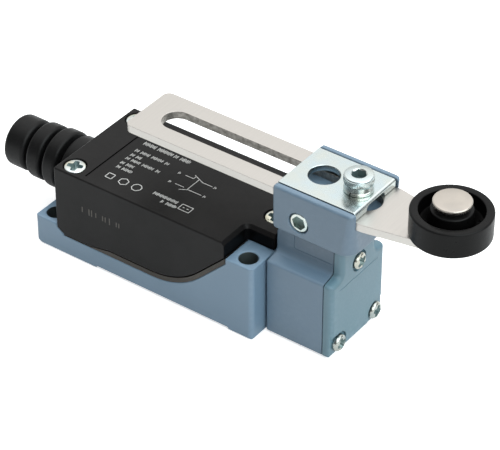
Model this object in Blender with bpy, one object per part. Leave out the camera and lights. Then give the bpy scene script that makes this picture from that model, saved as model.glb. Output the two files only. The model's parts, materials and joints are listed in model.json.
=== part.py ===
"""Limit switch with an adjustable roller lever, as separate pieces.

The frame: the mounting face is z = 0, +X runs from the cable end to the head, and +Z is the way the
front cover and the lever face. The origin is on the mounting face, midway between the two mounting
holes at the head end. All lengths are in metres, written in millimetres times MM.
"""

import math

import bmesh
import bpy
from mathutils import Matrix, Vector

MM = 0.001

# Mounting pattern: four through holes for M4 screws.
HOLE_PITCH_X = 56.0 * MM
HOLE_PITCH_Y = 23.0 * MM
HOLE_DIAMETER = 4.4 * MM

# Housing and cover.
BODY_X0 = -59.5 * MM
BODY_X1 = 3.5 * MM
BODY_HALF_WIDTH = 15.0 * MM
TAB_TOP = 7.85 * MM
EAR_TOP = 19.9 * MM
EAR_X0 = -4.0 * MM
EAR_INNER_Y = 6.55 * MM
SEAM_LOW = 5.6 * MM
SEAM_HIGH = 7.0 * MM
SEAM_GAP = 0.5 * MM
FOOT_RELIEF = 0.45 * MM
COVER_X0 = -53.0 * MM
COVER_X1 = 3.3 * MM
COVER_TOP = 24.1 * MM
COVER_SCREW_X = -49.4 * MM
COVER_SCREW_Y = 11.5 * MM
TONGUE_SCREW_X = -0.7 * MM
CAVITY_X0 = -50.6 * MM
CAVITY_X1 = -6.6 * MM
CAVITY_HALF_WIDTH = 13.0 * MM
CAVITY_STEP_X = -45.2 * MM
CAVITY_NECK_HALF_WIDTH = 7.7 * MM
CAVITY_FLOOR = 2.0 * MM
CAVITY_TOP = 22.0 * MM

# Cable entry.
GLAND_Z = 14.0 * MM
GLAND_HOLE_RADIUS = 6.1 * MM
GROMMET_X0 = -64.0 * MM

# Head.
HEAD_X0 = 3.85 * MM
HEAD_X1 = 19.35 * MM
HEAD_HALF_WIDTH = 10.4 * MM
HEAD_BOTTOM = 0.5 * MM
RIDGE_Z = 20.25 * MM
TURRET_HALF_WIDTH = 6.5 * MM
TURRET_FOOT_Z = 21.0 * MM
TURRET_TOP = 29.2 * MM
HEAD_CAVITY_X0 = 6.2 * MM
HEAD_CAVITY_HALF_WIDTH = 7.8 * MM
HEAD_CAVITY_Z0 = 6.0 * MM
HEAD_CAVITY_Z1 = 17.4 * MM
CAP_X0 = 19.5 * MM
CAP_X1 = 21.8 * MM
CAP_PROUD = 0.15 * MM
CAP_SCREW_Y = 7.1 * MM
CAP_SCREW_Z = 3.2 * MM
CAP_TOP_SCREW_Z = 21.9 * MM
CAP_SEAT_X = 21.15 * MM
CAP_SEAL_DEPTH = 0.95 * MM

# Shaft and the rod that it pushes.
SHAFT_X = 12.0 * MM
SHAFT_RADIUS = 3.5 * MM
ROD_Z = 10.2 * MM
ROD_RADIUS = 2.0 * MM
CAM_RADIUS = 5.3 * MM
CAM_FLAT = 4.4 * MM
CAM_Z0 = 7.2 * MM
CAM_Z1 = 13.2 * MM

# Lever.
BLOCK_X0 = 5.0 * MM
BLOCK_X1 = 25.9 * MM
BLOCK_HALF_WIDTH = 9.7 * MM
BLOCK_Z0 = 29.7 * MM
BLOCK_TOP = 41.0 * MM
CHANNEL_HALF_WIDTH = 8.15 * MM
ARM_Z0 = 36.95 * MM
ARM_Z1 = 38.9 * MM
ARM_X0 = -37.2 * MM
ARM_HALF_WIDTH = 8.0 * MM
ARM_TAPER_X = 27.0 * MM
SLOT_HALF_WIDTH = 3.5 * MM
SLOT_X0 = -28.3 * MM
BOLT_X = 21.0 * MM
PLATE_X0 = 5.2 * MM
PLATE_X1 = 25.5 * MM
PLATE_HALF_WIDTH = 7.85 * MM
PLATE_Z0 = 39.55 * MM
SET_SCREW_Z = 33.6 * MM
ROLLER_X = 44.5 * MM
ROLLER_RADIUS = 9.1 * MM
ROLLER_Z0 = 39.7 * MM
ROLLER_Z1 = 46.0 * MM
ARM_TIP_RADIUS = 4.6 * MM

# Contacts.
BLOCK_FLOOR = 2.3 * MM
BRIDGE_X0 = -21.9 * MM
BRIDGE_X1 = -20.9 * MM
WINDOW_X0 = -23.8 * MM
WINDOW_X1 = -16.6 * MM
PLUNGER_X0 = -27.0 * MM
PLUNGER_X1 = -7.9 * MM

ROUND_STEPS = 32
SMALL_STEPS = 16
AXIS_X = Matrix.Rotation(math.radians(90), 4, "Y")
AXIS_Y = Matrix.Rotation(math.radians(-90), 4, "X")
AXIS_Z = Matrix.Identity(4)


def clear_scene():
    for obj in list(bpy.data.objects):
        bpy.data.objects.remove(obj)


def make_material(name, colour, roughness, metallic):
    material = bpy.data.materials.new(name)
    material.use_nodes = True
    shader = material.node_tree.nodes["Principled BSDF"]
    shader.inputs["Base Color"].default_value = (*colour, 1.0)
    shader.inputs["Roughness"].default_value = roughness
    shader.inputs["Metallic"].default_value = metallic
    return material


# ---------------------------------------------------------------- mesh tools


def arc(centre_a, centre_b, radius, start, end, steps):
    """Points of an arc in a plane, from start to end in degrees."""
    points = []
    for step in range(steps + 1):
        angle = math.radians(start + (end - start) * step / steps)
        points.append((centre_a + radius * math.cos(angle), centre_b + radius * math.sin(angle)))
    return points


def rounded_rectangle(x0, y0, x1, y1, radius, steps=5):
    outline = arc(x1 - radius, y0 + radius, radius, -90, 0, steps)
    outline += arc(x1 - radius, y1 - radius, radius, 0, 90, steps)
    outline += arc(x0 + radius, y1 - radius, radius, 90, 180, steps)
    outline += arc(x0 + radius, y0 + radius, radius, 180, 270, steps)
    return outline


def prism(outline, low, high, plane="XY"):
    """A closed solid: the outline in its plane, extruded from low to high along the third axis."""
    place = {
        "XY": lambda a, b, c: (a, b, c),
        "XZ": lambda a, b, c: (a, c, b),
        "YZ": lambda a, b, c: (c, a, b),
    }[plane]
    bm = bmesh.new()
    first = [bm.verts.new(place(a, b, low)) for a, b in outline]
    second = [bm.verts.new(place(a, b, high)) for a, b in outline]
    bm.faces.new(first)
    bm.faces.new(second)
    count = len(outline)
    for index in range(count):
        after = (index + 1) % count
        bm.faces.new((first[index], first[after], second[after], second[index]))
    bmesh.ops.recalc_face_normals(bm, faces=bm.faces)
    return bm


def box(low, high):
    outline = [(low[0], low[1]), (high[0], low[1]), (high[0], high[1]), (low[0], high[1])]
    return prism(outline, low[2], high[2])


def turned(profile, axis=AXIS_Z, centre=(0, 0, 0), steps=ROUND_STEPS):
    """A solid of revolution from (radius, height) points. It closes on the axis or into a ring."""
    bm = bmesh.new()
    rings = []
    for radius, height in profile:
        if radius < 1e-7:
            rings.append([bm.verts.new((0, 0, height))])
            continue
        ring = []
        for step in range(steps):
            angle = 2 * math.pi * step / steps
            ring.append(bm.verts.new((radius * math.cos(angle), radius * math.sin(angle), height)))
        rings.append(ring)
    pairs = list(zip(rings, rings[1:]))
    if len(rings[0]) > 1 and len(rings[-1]) > 1:
        pairs.append((rings[-1], rings[0]))
    for lower, upper in pairs:
        for step in range(steps):
            after = (step + 1) % steps
            corners = [lower[step % len(lower)], lower[after % len(lower)]]
            corners += [upper[after % len(upper)], upper[step % len(upper)]]
            corners = list(dict.fromkeys(corners))
            if len(corners) > 2:
                bm.faces.new(corners)
    bmesh.ops.recalc_face_normals(bm, faces=bm.faces)
    bmesh.ops.transform(bm, matrix=Matrix.Translation(centre) @ axis, verts=bm.verts)
    return bm


def rod(radius, low, high, axis=AXIS_Z, centre=(0, 0, 0), steps=ROUND_STEPS):
    return turned([(0, low), (radius, low), (radius, high), (0, high)], axis, centre, steps)


def ring(inner, outer, low, high, axis=AXIS_Z, centre=(0, 0, 0), steps=ROUND_STEPS):
    return turned([(inner, low), (outer, low), (outer, high), (inner, high)], axis, centre, steps)


def coil(radius, wire, low, high, turns, axis, centre, steps_per_turn=10, sides=5):
    """A spring whose end turns lie closer together, as one closed tube."""
    bm = bmesh.new()
    total = int(turns * steps_per_turn)
    loops = []
    for step in range(total + 1):
        share = step / total
        angle = 2 * math.pi * turns * share
        eased = share - 0.35 / (2 * math.pi) * math.sin(2 * math.pi * share)
        height = low + wire + (high - low - 2 * wire) * eased
        outward = Vector((math.cos(angle), math.sin(angle), 0))
        loop = []
        for side in range(sides):
            turn = 2 * math.pi * side / sides
            reach = radius + wire * math.cos(turn)
            loop.append(bm.verts.new(outward * reach + Vector((0, 0, height + wire * math.sin(turn)))))
        loops.append(loop)
    for lower, upper in zip(loops, loops[1:]):
        for side in range(sides):
            after = (side + 1) % sides
            bm.faces.new((lower[side], lower[after], upper[after], upper[side]))
    bm.faces.new(loops[0])
    bm.faces.new(loops[-1])
    bmesh.ops.recalc_face_normals(bm, faces=bm.faces)
    bmesh.ops.transform(bm, matrix=Matrix.Translation(centre) @ axis, verts=bm.verts)
    return bm


def corner_cutter(x, y, side_x, side_y, radius, low, high):
    """A cutter that rounds a vertical edge at (x, y)."""
    centre = (x - side_x * radius, y - side_y * radius)
    outline = []
    for px, py in arc(0, 0, radius, 0, 90, 5):
        outline.append((centre[0] + side_x * px, centre[1] + side_y * py))
    far_x, far_y = x + side_x * MM, y + side_y * MM
    outline += [(centre[0], far_y), (far_x, far_y), (far_x, centre[1])]
    return prism(outline, low, high)


def mesh_object(name, bm):
    mesh = bpy.data.meshes.new(name)
    bm.to_mesh(mesh)
    bm.free()
    obj = bpy.data.objects.new(name, mesh)
    bpy.context.scene.collection.objects.link(obj)
    return obj


def carve(bm, *cutters):
    """The solid with each cutter taken away, by exact Booleans."""
    body = mesh_object("blank", bm)
    helpers = []
    for index, cutter in enumerate(cutters):
        helper = mesh_object(f"cutter_{index}", cutter)
        modifier = body.modifiers.new(f"cut_{index}", "BOOLEAN")
        modifier.operation = "DIFFERENCE"
        modifier.solver = "EXACT"
        modifier.object = helper
        helpers.append(helper)
    graph = bpy.context.evaluated_depsgraph_get()
    carved = bmesh.new()
    carved.from_mesh(body.evaluated_get(graph).to_mesh())
    for helper in [body, *helpers]:
        bpy.data.objects.remove(helper)
    return carved


def add_piece(name, bm, material, origin=(0, 0, 0), parent=None):
    """Place a solid that was modelled in world coordinates, with its origin at a chosen point."""
    bmesh.ops.translate(bm, verts=bm.verts, vec=-Vector(origin))
    obj = mesh_object(name, bm)
    obj.data.materials.append(material)
    obj.data.shade_smooth()
    obj.data.set_sharp_from_angle(angle=math.radians(32))
    if parent:
        obj.parent = parent
        obj.location = Vector(origin) - parent_place(parent)
    else:
        obj.location = origin
    return obj


def parent_place(empty):
    place = Vector(empty.location)
    while empty.parent:
        empty = empty.parent
        place += Vector(empty.location)
    return place


def add_axis(name, place, parent=None):
    """An empty on a joint's axis, which carries the pieces that move with the joint."""
    empty = bpy.data.objects.new(name, None)
    bpy.context.scene.collection.objects.link(empty)
    empty.empty_display_size = 5 * MM
    empty.parent = parent
    empty.location = Vector(place) - (parent_place(parent) if parent else Vector())
    return empty


# ---------------------------------------------------------------- housing, cover, gasket


def seam_path():
    """The top edge of the housing's side, from the tab to the ear: step, slow rise, arc, 45 degree run."""
    arc_radius = 18.0 * MM
    slope_x1 = EAR_X0 - (EAR_TOP - SEAM_HIGH)
    arc_start = slope_x1 - arc_radius * math.tan(math.radians(22.5))
    path = [(COVER_X0 - 0.2 * MM, TAB_TOP), (COVER_X0 - 0.2 * MM, SEAM_LOW + 1.5 * MM)]
    path += [(COVER_X0 + 1.5 * MM, SEAM_LOW), (-41.0 * MM, SEAM_LOW)]
    path += arc(arc_start, SEAM_HIGH + arc_radius, arc_radius, -90, -45, 6)
    path += [(EAR_X0, EAR_TOP)]
    return path


def offset_path(path, distance):
    """The same path moved to its left by a distance, with mitred corners."""
    moved = []
    for index, point in enumerate(path):
        before = Vector(path[max(index - 1, 0)])
        after = Vector(path[min(index + 1, len(path) - 1)])
        here = Vector(point)
        normals = []
        for start, end in ((before, here), (here, after)):
            along = end - start
            if along.length > 1e-9:
                normals.append(Vector((-along.y, along.x)).normalized())
        normal = sum(normals, Vector((0, 0))).normalized()
        stretch = max(normal.dot(normals[0]), 0.3)
        moved.append(tuple(here + normal * distance / stretch))
    return moved


def cavity_outline():
    """Plan of the room inside: wide over the contacts, narrow between the two corner posts."""
    neck, wide = CAVITY_NECK_HALF_WIDTH, CAVITY_HALF_WIDTH
    front = [(CAVITY_X0, -neck), (CAVITY_STEP_X, -neck), (CAVITY_STEP_X, -wide), (CAVITY_X1, -wide)]
    return front + [(x, -y) for x, y in reversed(front)]


def base_outline():
    edge = 1.8 * MM
    outline = arc(BODY_X0 + edge, edge, edge, 180, 270, 5)
    relief_x0, relief_x1 = -41.4 * MM, -3.4 * MM
    outline += [(relief_x0, 0), (relief_x0, FOOT_RELIEF), (relief_x1, FOOT_RELIEF), (relief_x1, 0)]
    outline += [(BODY_X1, 0), (BODY_X1, EAR_TOP)]
    outline += list(reversed(seam_path()))
    outline += [(BODY_X0, TAB_TOP)]
    return outline


def mounting_holes():
    """(x, y) of the four mounting holes."""
    return [(x, side * HOLE_PITCH_Y / 2) for x in (0.0, -HOLE_PITCH_X) for side in (-1, 1)]


def build_base(material):
    cutters = [prism(cavity_outline(), CAVITY_FLOOR, 30 * MM)]
    for x, y in mounting_holes():
        cutters.append(rod(HOLE_DIAMETER / 2, -1 * MM, 30 * MM, AXIS_Z, (x, y, 0), SMALL_STEPS))
    cutters.append(rod(7.6 * MM, -8 * MM, 6.9 * MM, AXIS_X, (BODY_X0, 0, GLAND_Z)))
    cutters.append(rod(4.5 * MM, -4.0 * MM, 5 * MM, AXIS_X, (0, 0, ROD_Z)))
    cutters.append(rod(2.3 * MM, -8 * MM, 0, AXIS_X, (0, 0, ROD_Z), SMALL_STEPS))
    for side in (-1, 1):
        cutters.append(
            rod(1.65 * MM, -5.0 * MM, 5 * MM, AXIS_X, (0, side * CAP_SCREW_Y, CAP_SCREW_Z), SMALL_STEPS)
        )
        cutters.append(
            rod(1.65 * MM, 0.9 * MM, 9 * MM, AXIS_Z, (COVER_SCREW_X, side * COVER_SCREW_Y, 0), SMALL_STEPS)
        )
        cutters.append(corner_cutter(BODY_X1, side * BODY_HALF_WIDTH, 1, side, 1.2 * MM, -MM, 30 * MM))
    cutters.append(rod(1.65 * MM, 15.3 * MM, 25 * MM, AXIS_Z, (TONGUE_SCREW_X, 0, 0), SMALL_STEPS))
    cutters.append(rod(1.45 * MM, 0.8 * MM, 5 * MM, AXIS_Z, (-41 * MM, 9.5 * MM, 0), SMALL_STEPS))
    solid = prism(base_outline(), -BODY_HALF_WIDTH, BODY_HALF_WIDTH, "XZ")
    add_piece("base_housing", carve(solid, *cutters), material)


def cover_outline():
    lower = offset_path(seam_path(), SEAM_GAP)
    notch_x = EAR_X0 - 0.25 * MM
    underside = EAR_TOP + 0.3 * MM
    lower = [(COVER_X0, TAB_TOP)] + lower[1:-1]
    rise = underside - lower[-1][1]
    lower += [(lower[-1][0] + rise, underside), (notch_x, underside), (COVER_X1, underside)]
    return lower + [(COVER_X1, COVER_TOP), (COVER_X0, COVER_TOP)]


def notch_cutter(side):
    """The cut that clears an ear, with a chamfer round its top edge."""
    x0, y0 = EAR_X0 - 0.25 * MM, EAR_INNER_Y - 0.2 * MM
    chamfer = 0.8 * MM
    low, high = 0.0, COVER_TOP - chamfer
    far = 20 * MM
    bm = bmesh.new()
    levels = []
    for z, grow in ((low, 0), (high, 0), (COVER_TOP + chamfer, 2 * chamfer)):
        corners = [(x0 - grow, y0 - grow), (far, y0 - grow), (far, far), (x0 - grow, far)]
        levels.append([bm.verts.new((x, side * y, z)) for x, y in corners])
    bm.faces.new(levels[0])
    bm.faces.new(levels[-1])
    for lower, upper in zip(levels, levels[1:]):
        for index in range(4):
            after = (index + 1) % 4
            bm.faces.new((lower[index], lower[after], upper[after], upper[index]))
    bmesh.ops.recalc_face_normals(bm, faces=bm.faces)
    return bm


def build_cover(material):
    cutters = [prism(cavity_outline(), -5 * MM, CAVITY_TOP), notch_cutter(-1), notch_cutter(1)]
    for x, y in ((COVER_SCREW_X, -COVER_SCREW_Y), (COVER_SCREW_X, COVER_SCREW_Y), (TONGUE_SCREW_X, 0)):
        cutters.append(rod(1.75 * MM, 0, 30 * MM, AXIS_Z, (x, y, 0), SMALL_STEPS))
        cutters.append(rod(2.8 * MM, COVER_TOP - 1.6 * MM, 30 * MM, AXIS_Z, (x, y, 0)))
    seat, recess = COVER_X0 + 0.4 * MM, 7.6 * MM
    profile = [(0, -70 * MM), (recess, -70 * MM), (recess, seat), (GLAND_HOLE_RADIUS, seat)]
    profile += [(GLAND_HOLE_RADIUS, CAVITY_X0 + 3 * MM), (0, CAVITY_X0 + 3 * MM)]
    cutters.append(turned(profile, AXIS_X, (0, 0, GLAND_Z)))
    groove_x, groove_y, groove_width = -45.0 * MM, 13.3 * MM, 0.4 * MM
    cutters.append(
        box((groove_x, -groove_y, COVER_TOP - 0.35 * MM), (groove_x + groove_width, groove_y, COVER_TOP + MM))
    )
    solid = prism(cover_outline(), -BODY_HALF_WIDTH, BODY_HALF_WIDTH, "XZ")
    add_piece("front_cover", carve(solid, *cutters), material)


def build_gasket(material):
    """A rubber frame that fills the joint, from the corner posts to the head end."""
    path = seam_path()[:-1] + [(EAR_X0 - 0.7 * MM, EAR_TOP - 0.7 * MM)]
    lower = offset_path(path, 0.1 * MM)[2:]
    upper = offset_path(path, SEAM_GAP - 0.1 * MM)[2:]
    outline = lower + list(reversed(upper))
    solid = prism(outline, -BODY_HALF_WIDTH + 0.08 * MM, BODY_HALF_WIDTH - 0.08 * MM, "XZ")
    cutters = [prism(cavity_outline(), 0, 30 * MM)]
    for side in (-1, 1):
        place = (COVER_SCREW_X, side * COVER_SCREW_Y, 0)
        cutters.append(rod(1.75 * MM, 0, 30 * MM, AXIS_Z, place, SMALL_STEPS))
    add_piece("cover_gasket", carve(solid, *cutters), material)


# ---------------------------------------------------------------- screws


def cross_cutter(size, depth, top):
    """A cross-shaped recess whose arms narrow towards the bottom."""
    bm = bmesh.new()
    levels = []
    for z, share in ((top + 0.3 * MM, 1.0), (top - depth, 0.6)):
        reach, half = size * share, size * 0.24 * share
        outline = []
        for quarter in range(4):
            turn = Matrix.Rotation(math.pi / 2 * quarter, 2)
            outline += [turn @ Vector(corner) for corner in ((half, half), (half, reach), (-half, reach))]
        levels.append([bm.verts.new((x, y, z)) for x, y in outline])
    bm.faces.new(levels[0])
    bm.faces.new(levels[1])
    for index in range(12):
        after = (index + 1) % 12
        bm.faces.new((levels[0][index], levels[0][after], levels[1][after], levels[1][index]))
    bmesh.ops.recalc_face_normals(bm, faces=bm.faces)
    return bm


def hexagon_cutter(across_flats, low, high):
    return rod(across_flats / math.sqrt(3), low, high, AXIS_Z, (0, 0, 0), 6)


def pan_screw(head_radius, head_height, shank_radius, length):
    """A cross-recessed pan screw along Z, with the seat of its head at z = 0."""
    crown = [(head_radius, head_height * 0.45), (head_radius * 0.86, head_height * 0.85)]
    profile = [(0, -length), (shank_radius, -length), (shank_radius, 0), (head_radius, 0)]
    profile += crown + [(head_radius * 0.6, head_height), (0, head_height)]
    blank = turned(profile, steps=SMALL_STEPS)
    return carve(blank, cross_cutter(head_radius * 0.62, head_height * 0.6, head_height))


def placed(bm, axis, place):
    bmesh.ops.transform(bm, matrix=Matrix.Translation(place) @ axis, verts=bm.verts)
    return bm


def build_cover_screws(material):
    seat = COVER_TOP - 1.5 * MM
    places = {
        "cover_screw_front": (COVER_SCREW_X, -COVER_SCREW_Y, 20.5 * MM),
        "cover_screw_rear": (COVER_SCREW_X, COVER_SCREW_Y, 20.5 * MM),
        "cover_screw_head": (TONGUE_SCREW_X, 0, 6.8 * MM),
    }
    for name, (x, y, length) in places.items():
        screw = pan_screw(2.55 * MM, 1.4 * MM, 1.45 * MM, length)
        add_piece(name, placed(screw, AXIS_Z, (x, y, seat)), material, (x, y, seat))


def build_cap_screws(material):
    seat = CAP_SEAT_X + 0.1 * MM
    places = {
        "cap_screw_top": (0, CAP_TOP_SCREW_Z, 3.6 * MM),
        "cap_screw_front": (-CAP_SCREW_Y, CAP_SCREW_Z, 25.0 * MM),
        "cap_screw_rear": (CAP_SCREW_Y, CAP_SCREW_Z, 25.0 * MM),
    }
    for name, (y, z, length) in places.items():
        screw = pan_screw(2.35 * MM, 1.5 * MM, 1.4 * MM, length)
        add_piece(name, placed(screw, AXIS_X, (seat, y, z)), material, (seat, y, z))


def build_ground_screw(material):
    place = (-41 * MM, 9.5 * MM, 2.1 * MM)
    screw = pan_screw(2.6 * MM, 1.6 * MM, 1.3 * MM, 1.0 * MM)
    add_piece("ground_screw", placed(screw, AXIS_Z, place), material, place)


# ---------------------------------------------------------------- cable entry


def build_cable_boot(material):
    """Three swelling ribs with deep grooves, a collar against the cover, and a neck through its wall."""
    tip_x = -76.4 * MM
    ribs = [(0.0, 5.3, 6.2), (6.4, 10.4, 6.75), (11.5, 15.5, 7.2)]
    profile = [(3.3 * MM, 0)]
    for start, end, radius in ribs:
        profile += [((radius - 0.9) * MM, start * MM), (radius * MM, (start + 0.9) * MM)]
        profile += [(radius * MM, (end - 0.7) * MM), ((radius - 0.7) * MM, end * MM)]
        groove = (radius - 1.9) * MM
        profile += [(groove, (end + 0.1) * MM), (groove, (end + 1.0) * MM)]
    collar_end = COVER_X0 + 0.2 * MM - tip_x
    profile += [(6.5 * MM, 16.6 * MM), (7.25 * MM, 17.6 * MM), (7.25 * MM, collar_end)]
    neck_end = CAVITY_X0 + 3.2 * MM - tip_x
    profile += [(5.8 * MM, collar_end), (5.8 * MM, neck_end), (4.6 * MM, neck_end)]
    profile += [(4.6 * MM, 11.8 * MM), (3.3 * MM, 11.8 * MM)]
    boot = turned(profile, AXIS_X, (tip_x, 0, GLAND_Z))
    add_piece("cable_boot", boot, material, (tip_x, 0, GLAND_Z))


def build_gland_parts(nut_material, rubber):
    nut_x0, nut_x1 = CAVITY_X0 + 0.1 * MM, CAVITY_X0 + 2.6 * MM
    blank = rod(7.4 * MM, 0, nut_x1 - nut_x0, AXIS_X, (nut_x0, 0, GLAND_Z), 6)
    bore = rod(5.95 * MM, -MM, 10 * MM, AXIS_X, (nut_x0, 0, GLAND_Z))
    add_piece("gland_nut", carve(blank, bore), nut_material, (nut_x0, 0, GLAND_Z))
    grommet = ring(2.9 * MM, 4.45 * MM, 0, 14 * MM, AXIS_X, (GROMMET_X0, 0, GLAND_Z), SMALL_STEPS)
    add_piece("cable_grommet", grommet, rubber, (GROMMET_X0, 0, GLAND_Z))


# ---------------------------------------------------------------- head


def head_outline(proud=0.0, top=TURRET_TOP):
    """Section of head and cap: a wide lower box, sloping shoulders and a narrower turret."""
    half = HEAD_HALF_WIDTH + proud
    turret = TURRET_HALF_WIDTH + proud
    edge, fillet = 0.7 * MM, 0.8 * MM
    foot = TURRET_FOOT_Z + proud
    right = [(half, HEAD_BOTTOM), (half, RIDGE_Z - edge)]
    right += [(half - 0.3 * edge, RIDGE_Z - 0.25 * edge), (half - edge, RIDGE_Z + 0.1 * edge)]
    right += [(turret + fillet, foot), (turret + 0.3 * fillet, foot + 0.3 * fillet), (turret, foot + fillet)]
    right += [(turret, top)]
    left = [(-y, z) for y, z in reversed(right)]
    return right + left


def build_head_block(material):
    cutters = [
        box(
            (HEAD_CAVITY_X0, -HEAD_CAVITY_HALF_WIDTH, HEAD_CAVITY_Z0),
            (30 * MM, HEAD_CAVITY_HALF_WIDTH, HEAD_CAVITY_Z1),
        )
    ]
    cutters.append(rod(5.0 * MM, 16 * MM, 32 * MM, AXIS_Z, (SHAFT_X, 0, 0)))
    cutters.append(rod(2.7 * MM, 2.0 * MM, 7 * MM, AXIS_Z, (SHAFT_X, 0, 0), SMALL_STEPS))
    cutters.append(rod(4.3 * MM, -2 * MM, 8 * MM, AXIS_X, (0, 0, ROD_Z)))
    cutters.append(ring(5.0 * MM, 6.8 * MM, 0, 4.6 * MM, AXIS_X, (0, 0, ROD_Z)))
    for side in (-1, 1):
        place = (0, side * CAP_SCREW_Y, CAP_SCREW_Z)
        cutters.append(rod(1.65 * MM, -5 * MM, 30 * MM, AXIS_X, place, SMALL_STEPS))
    cutters.append(rod(1.5 * MM, 17.2 * MM, 30 * MM, AXIS_X, (0, 0, CAP_TOP_SCREW_Z), SMALL_STEPS))
    edge = HEAD_X0 + 3.0 * MM
    slope = [(HEAD_X0 - MM, 24.3 * MM), (HEAD_X0, 24.3 * MM), (edge, TURRET_TOP), (edge, 32 * MM)]
    slope += [(HEAD_X0 - MM, 32 * MM)]
    cutters.append(prism(slope, -12 * MM, 12 * MM, "XZ"))
    for side in (-1, 1):
        panel_y = side * (TURRET_HALF_WIDTH - 0.2 * MM)
        outline = [(8.8 * MM, 23.6 * MM), (30 * MM, 23.6 * MM), (30 * MM, 32 * MM), (8.8 * MM, 32 * MM)]
        cutters.append(prism(outline, *sorted((panel_y, side * 9 * MM)), "XZ"))
    solid = prism(head_outline(), HEAD_X0, HEAD_X1, "YZ")
    add_piece("head_block", carve(solid, *cutters), material)


def pocket_cutter(side):
    """The corner pocket for a lower cap screw, open to the side and the bottom."""
    radius = 2.75 * MM
    top, inner = CAP_SCREW_Z + radius, CAP_SCREW_Y - radius
    outline = [(inner, -MM), (14 * MM, -MM), (14 * MM, top)]
    outline += arc(CAP_SCREW_Y, CAP_SCREW_Z, radius, 90, 180, 6)
    return prism([(side * y, z) for y, z in outline], CAP_SEAT_X, 30 * MM, "YZ")


def cap_seal_outline(margin):
    """The seat of the cap's seal, or with a margin the seal in it."""
    radius = 1.2 * MM - margin
    half = 9.4 * MM - margin
    return rounded_rectangle(-half, 4.95 * MM + margin, half, 18.7 * MM - margin, radius, 3)


def build_head_cap(material):
    half, turret = HEAD_HALF_WIDTH + CAP_PROUD, TURRET_HALF_WIDTH + CAP_PROUD
    cutters = []
    for side in (-1, 1):
        place = (0, side * CAP_SCREW_Y, CAP_SCREW_Z)
        cutters.append(rod(1.7 * MM, 0, 30 * MM, AXIS_X, place, SMALL_STEPS))
        cutters.append(pocket_cutter(side))
        cutters.append(corner_cutter(CAP_X1, side * half, 1, side, 1.5 * MM, -MM, 20.95 * MM))
        cutters.append(corner_cutter(CAP_X1, side * turret, 1, side, 1.2 * MM, 21.5 * MM, 32 * MM))
    top_seat = CAP_SEAT_X - 0.03 * MM
    profile = [(0, 0), (1.7 * MM, 0), (1.7 * MM, top_seat), (2.65 * MM, top_seat), (2.65 * MM, 30 * MM)]
    cutters.append(turned([*profile, (0, 30 * MM)], AXIS_X, (0, 0, CAP_TOP_SCREW_Z)))
    groove_z, groove = 17.9 * MM, 0.35 * MM
    cutters.append(box((CAP_X1 - groove, -7 * MM, groove_z), (30 * MM, 7 * MM, groove_z + groove)))
    seat = prism(cap_seal_outline(0), 0, CAP_X0 + CAP_SEAL_DEPTH, "YZ")
    cutters.append(carve(seat, box((0, -7.8 * MM, 6.5 * MM), (30 * MM, 7.8 * MM, 17.2 * MM))))
    solid = prism(head_outline(CAP_PROUD), CAP_X0, CAP_X1, "YZ")
    add_piece("head_cap", carve(solid, *cutters), material)


def build_head_seals(rubber):
    ring_bm = ring(5.2 * MM, 6.6 * MM, 3.65 * MM, 4.5 * MM, AXIS_X, (0, 0, ROD_Z))
    add_piece("head_gasket", ring_bm, rubber)
    frame = prism(cap_seal_outline(0.1 * MM), HEAD_X1 + 0.07 * MM, CAP_X0 + CAP_SEAL_DEPTH - 0.1 * MM, "YZ")
    hole = prism(rounded_rectangle(-7.9 * MM, 6.4 * MM, 7.9 * MM, 17.3 * MM, 0.1 * MM, 1), 0, 30 * MM, "YZ")
    add_piece("cap_gasket", carve(frame, hole), rubber)
    seal_profile = [(3.6, 26.0), (4.8, 26.0), (4.8, 28.6), (4.2, 28.9), (3.6, 28.6)]
    seal = turned([(r * MM, z * MM) for r, z in seal_profile], AXIS_Z, (SHAFT_X, 0, 0), SMALL_STEPS)
    add_piece("shaft_seal", seal, rubber)


def build_shaft_bush(material):
    bush = ring(3.6 * MM, 4.9 * MM, 18.0 * MM, 25.8 * MM, AXIS_Z, (SHAFT_X, 0, 0))
    add_piece("shaft_bush", bush, material)


# ---------------------------------------------------------------- contacts


def build_switch_block(material):
    """Insulating body with a channel for the plunger, rooms for the contacts and four terminal seats."""
    half, top = 10.2 * MM, 16.5 * MM
    x0, x1 = -35.0 * MM, -9.2 * MM
    cutters = [box((-29.4 * MM, -2.8 * MM, 7.4 * MM), (0, 2.8 * MM, 30 * MM))]
    cutters.append(rod(2.3 * MM, -34.2 * MM, -28 * MM, AXIS_X, (0, 0, ROD_Z), SMALL_STEPS))
    cutters.append(box((-24.8 * MM, -8.6 * MM, 7.4 * MM), (-19.2 * MM, 8.6 * MM, 30 * MM)))
    for side in (-1, 1):
        for low, high in ((-34.0, -24.0), (-20.0, -10.0)):
            near, far = sorted((side * 3.9 * MM, side * 9.2 * MM))
            cutters.append(box((low * MM, near, 14.0 * MM), (high * MM, far, 30 * MM)))
            place = ((low + high) / 2 * MM, side * 6.5 * MM, 0)
            cutters.append(rod(1.4 * MM, 9.5 * MM, 15 * MM, AXIS_Z, place, SMALL_STEPS))
    solid = box((x0, -half, BLOCK_FLOOR), (x1, half, top))
    add_piece("switch_block", carve(solid, *cutters), material)


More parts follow.
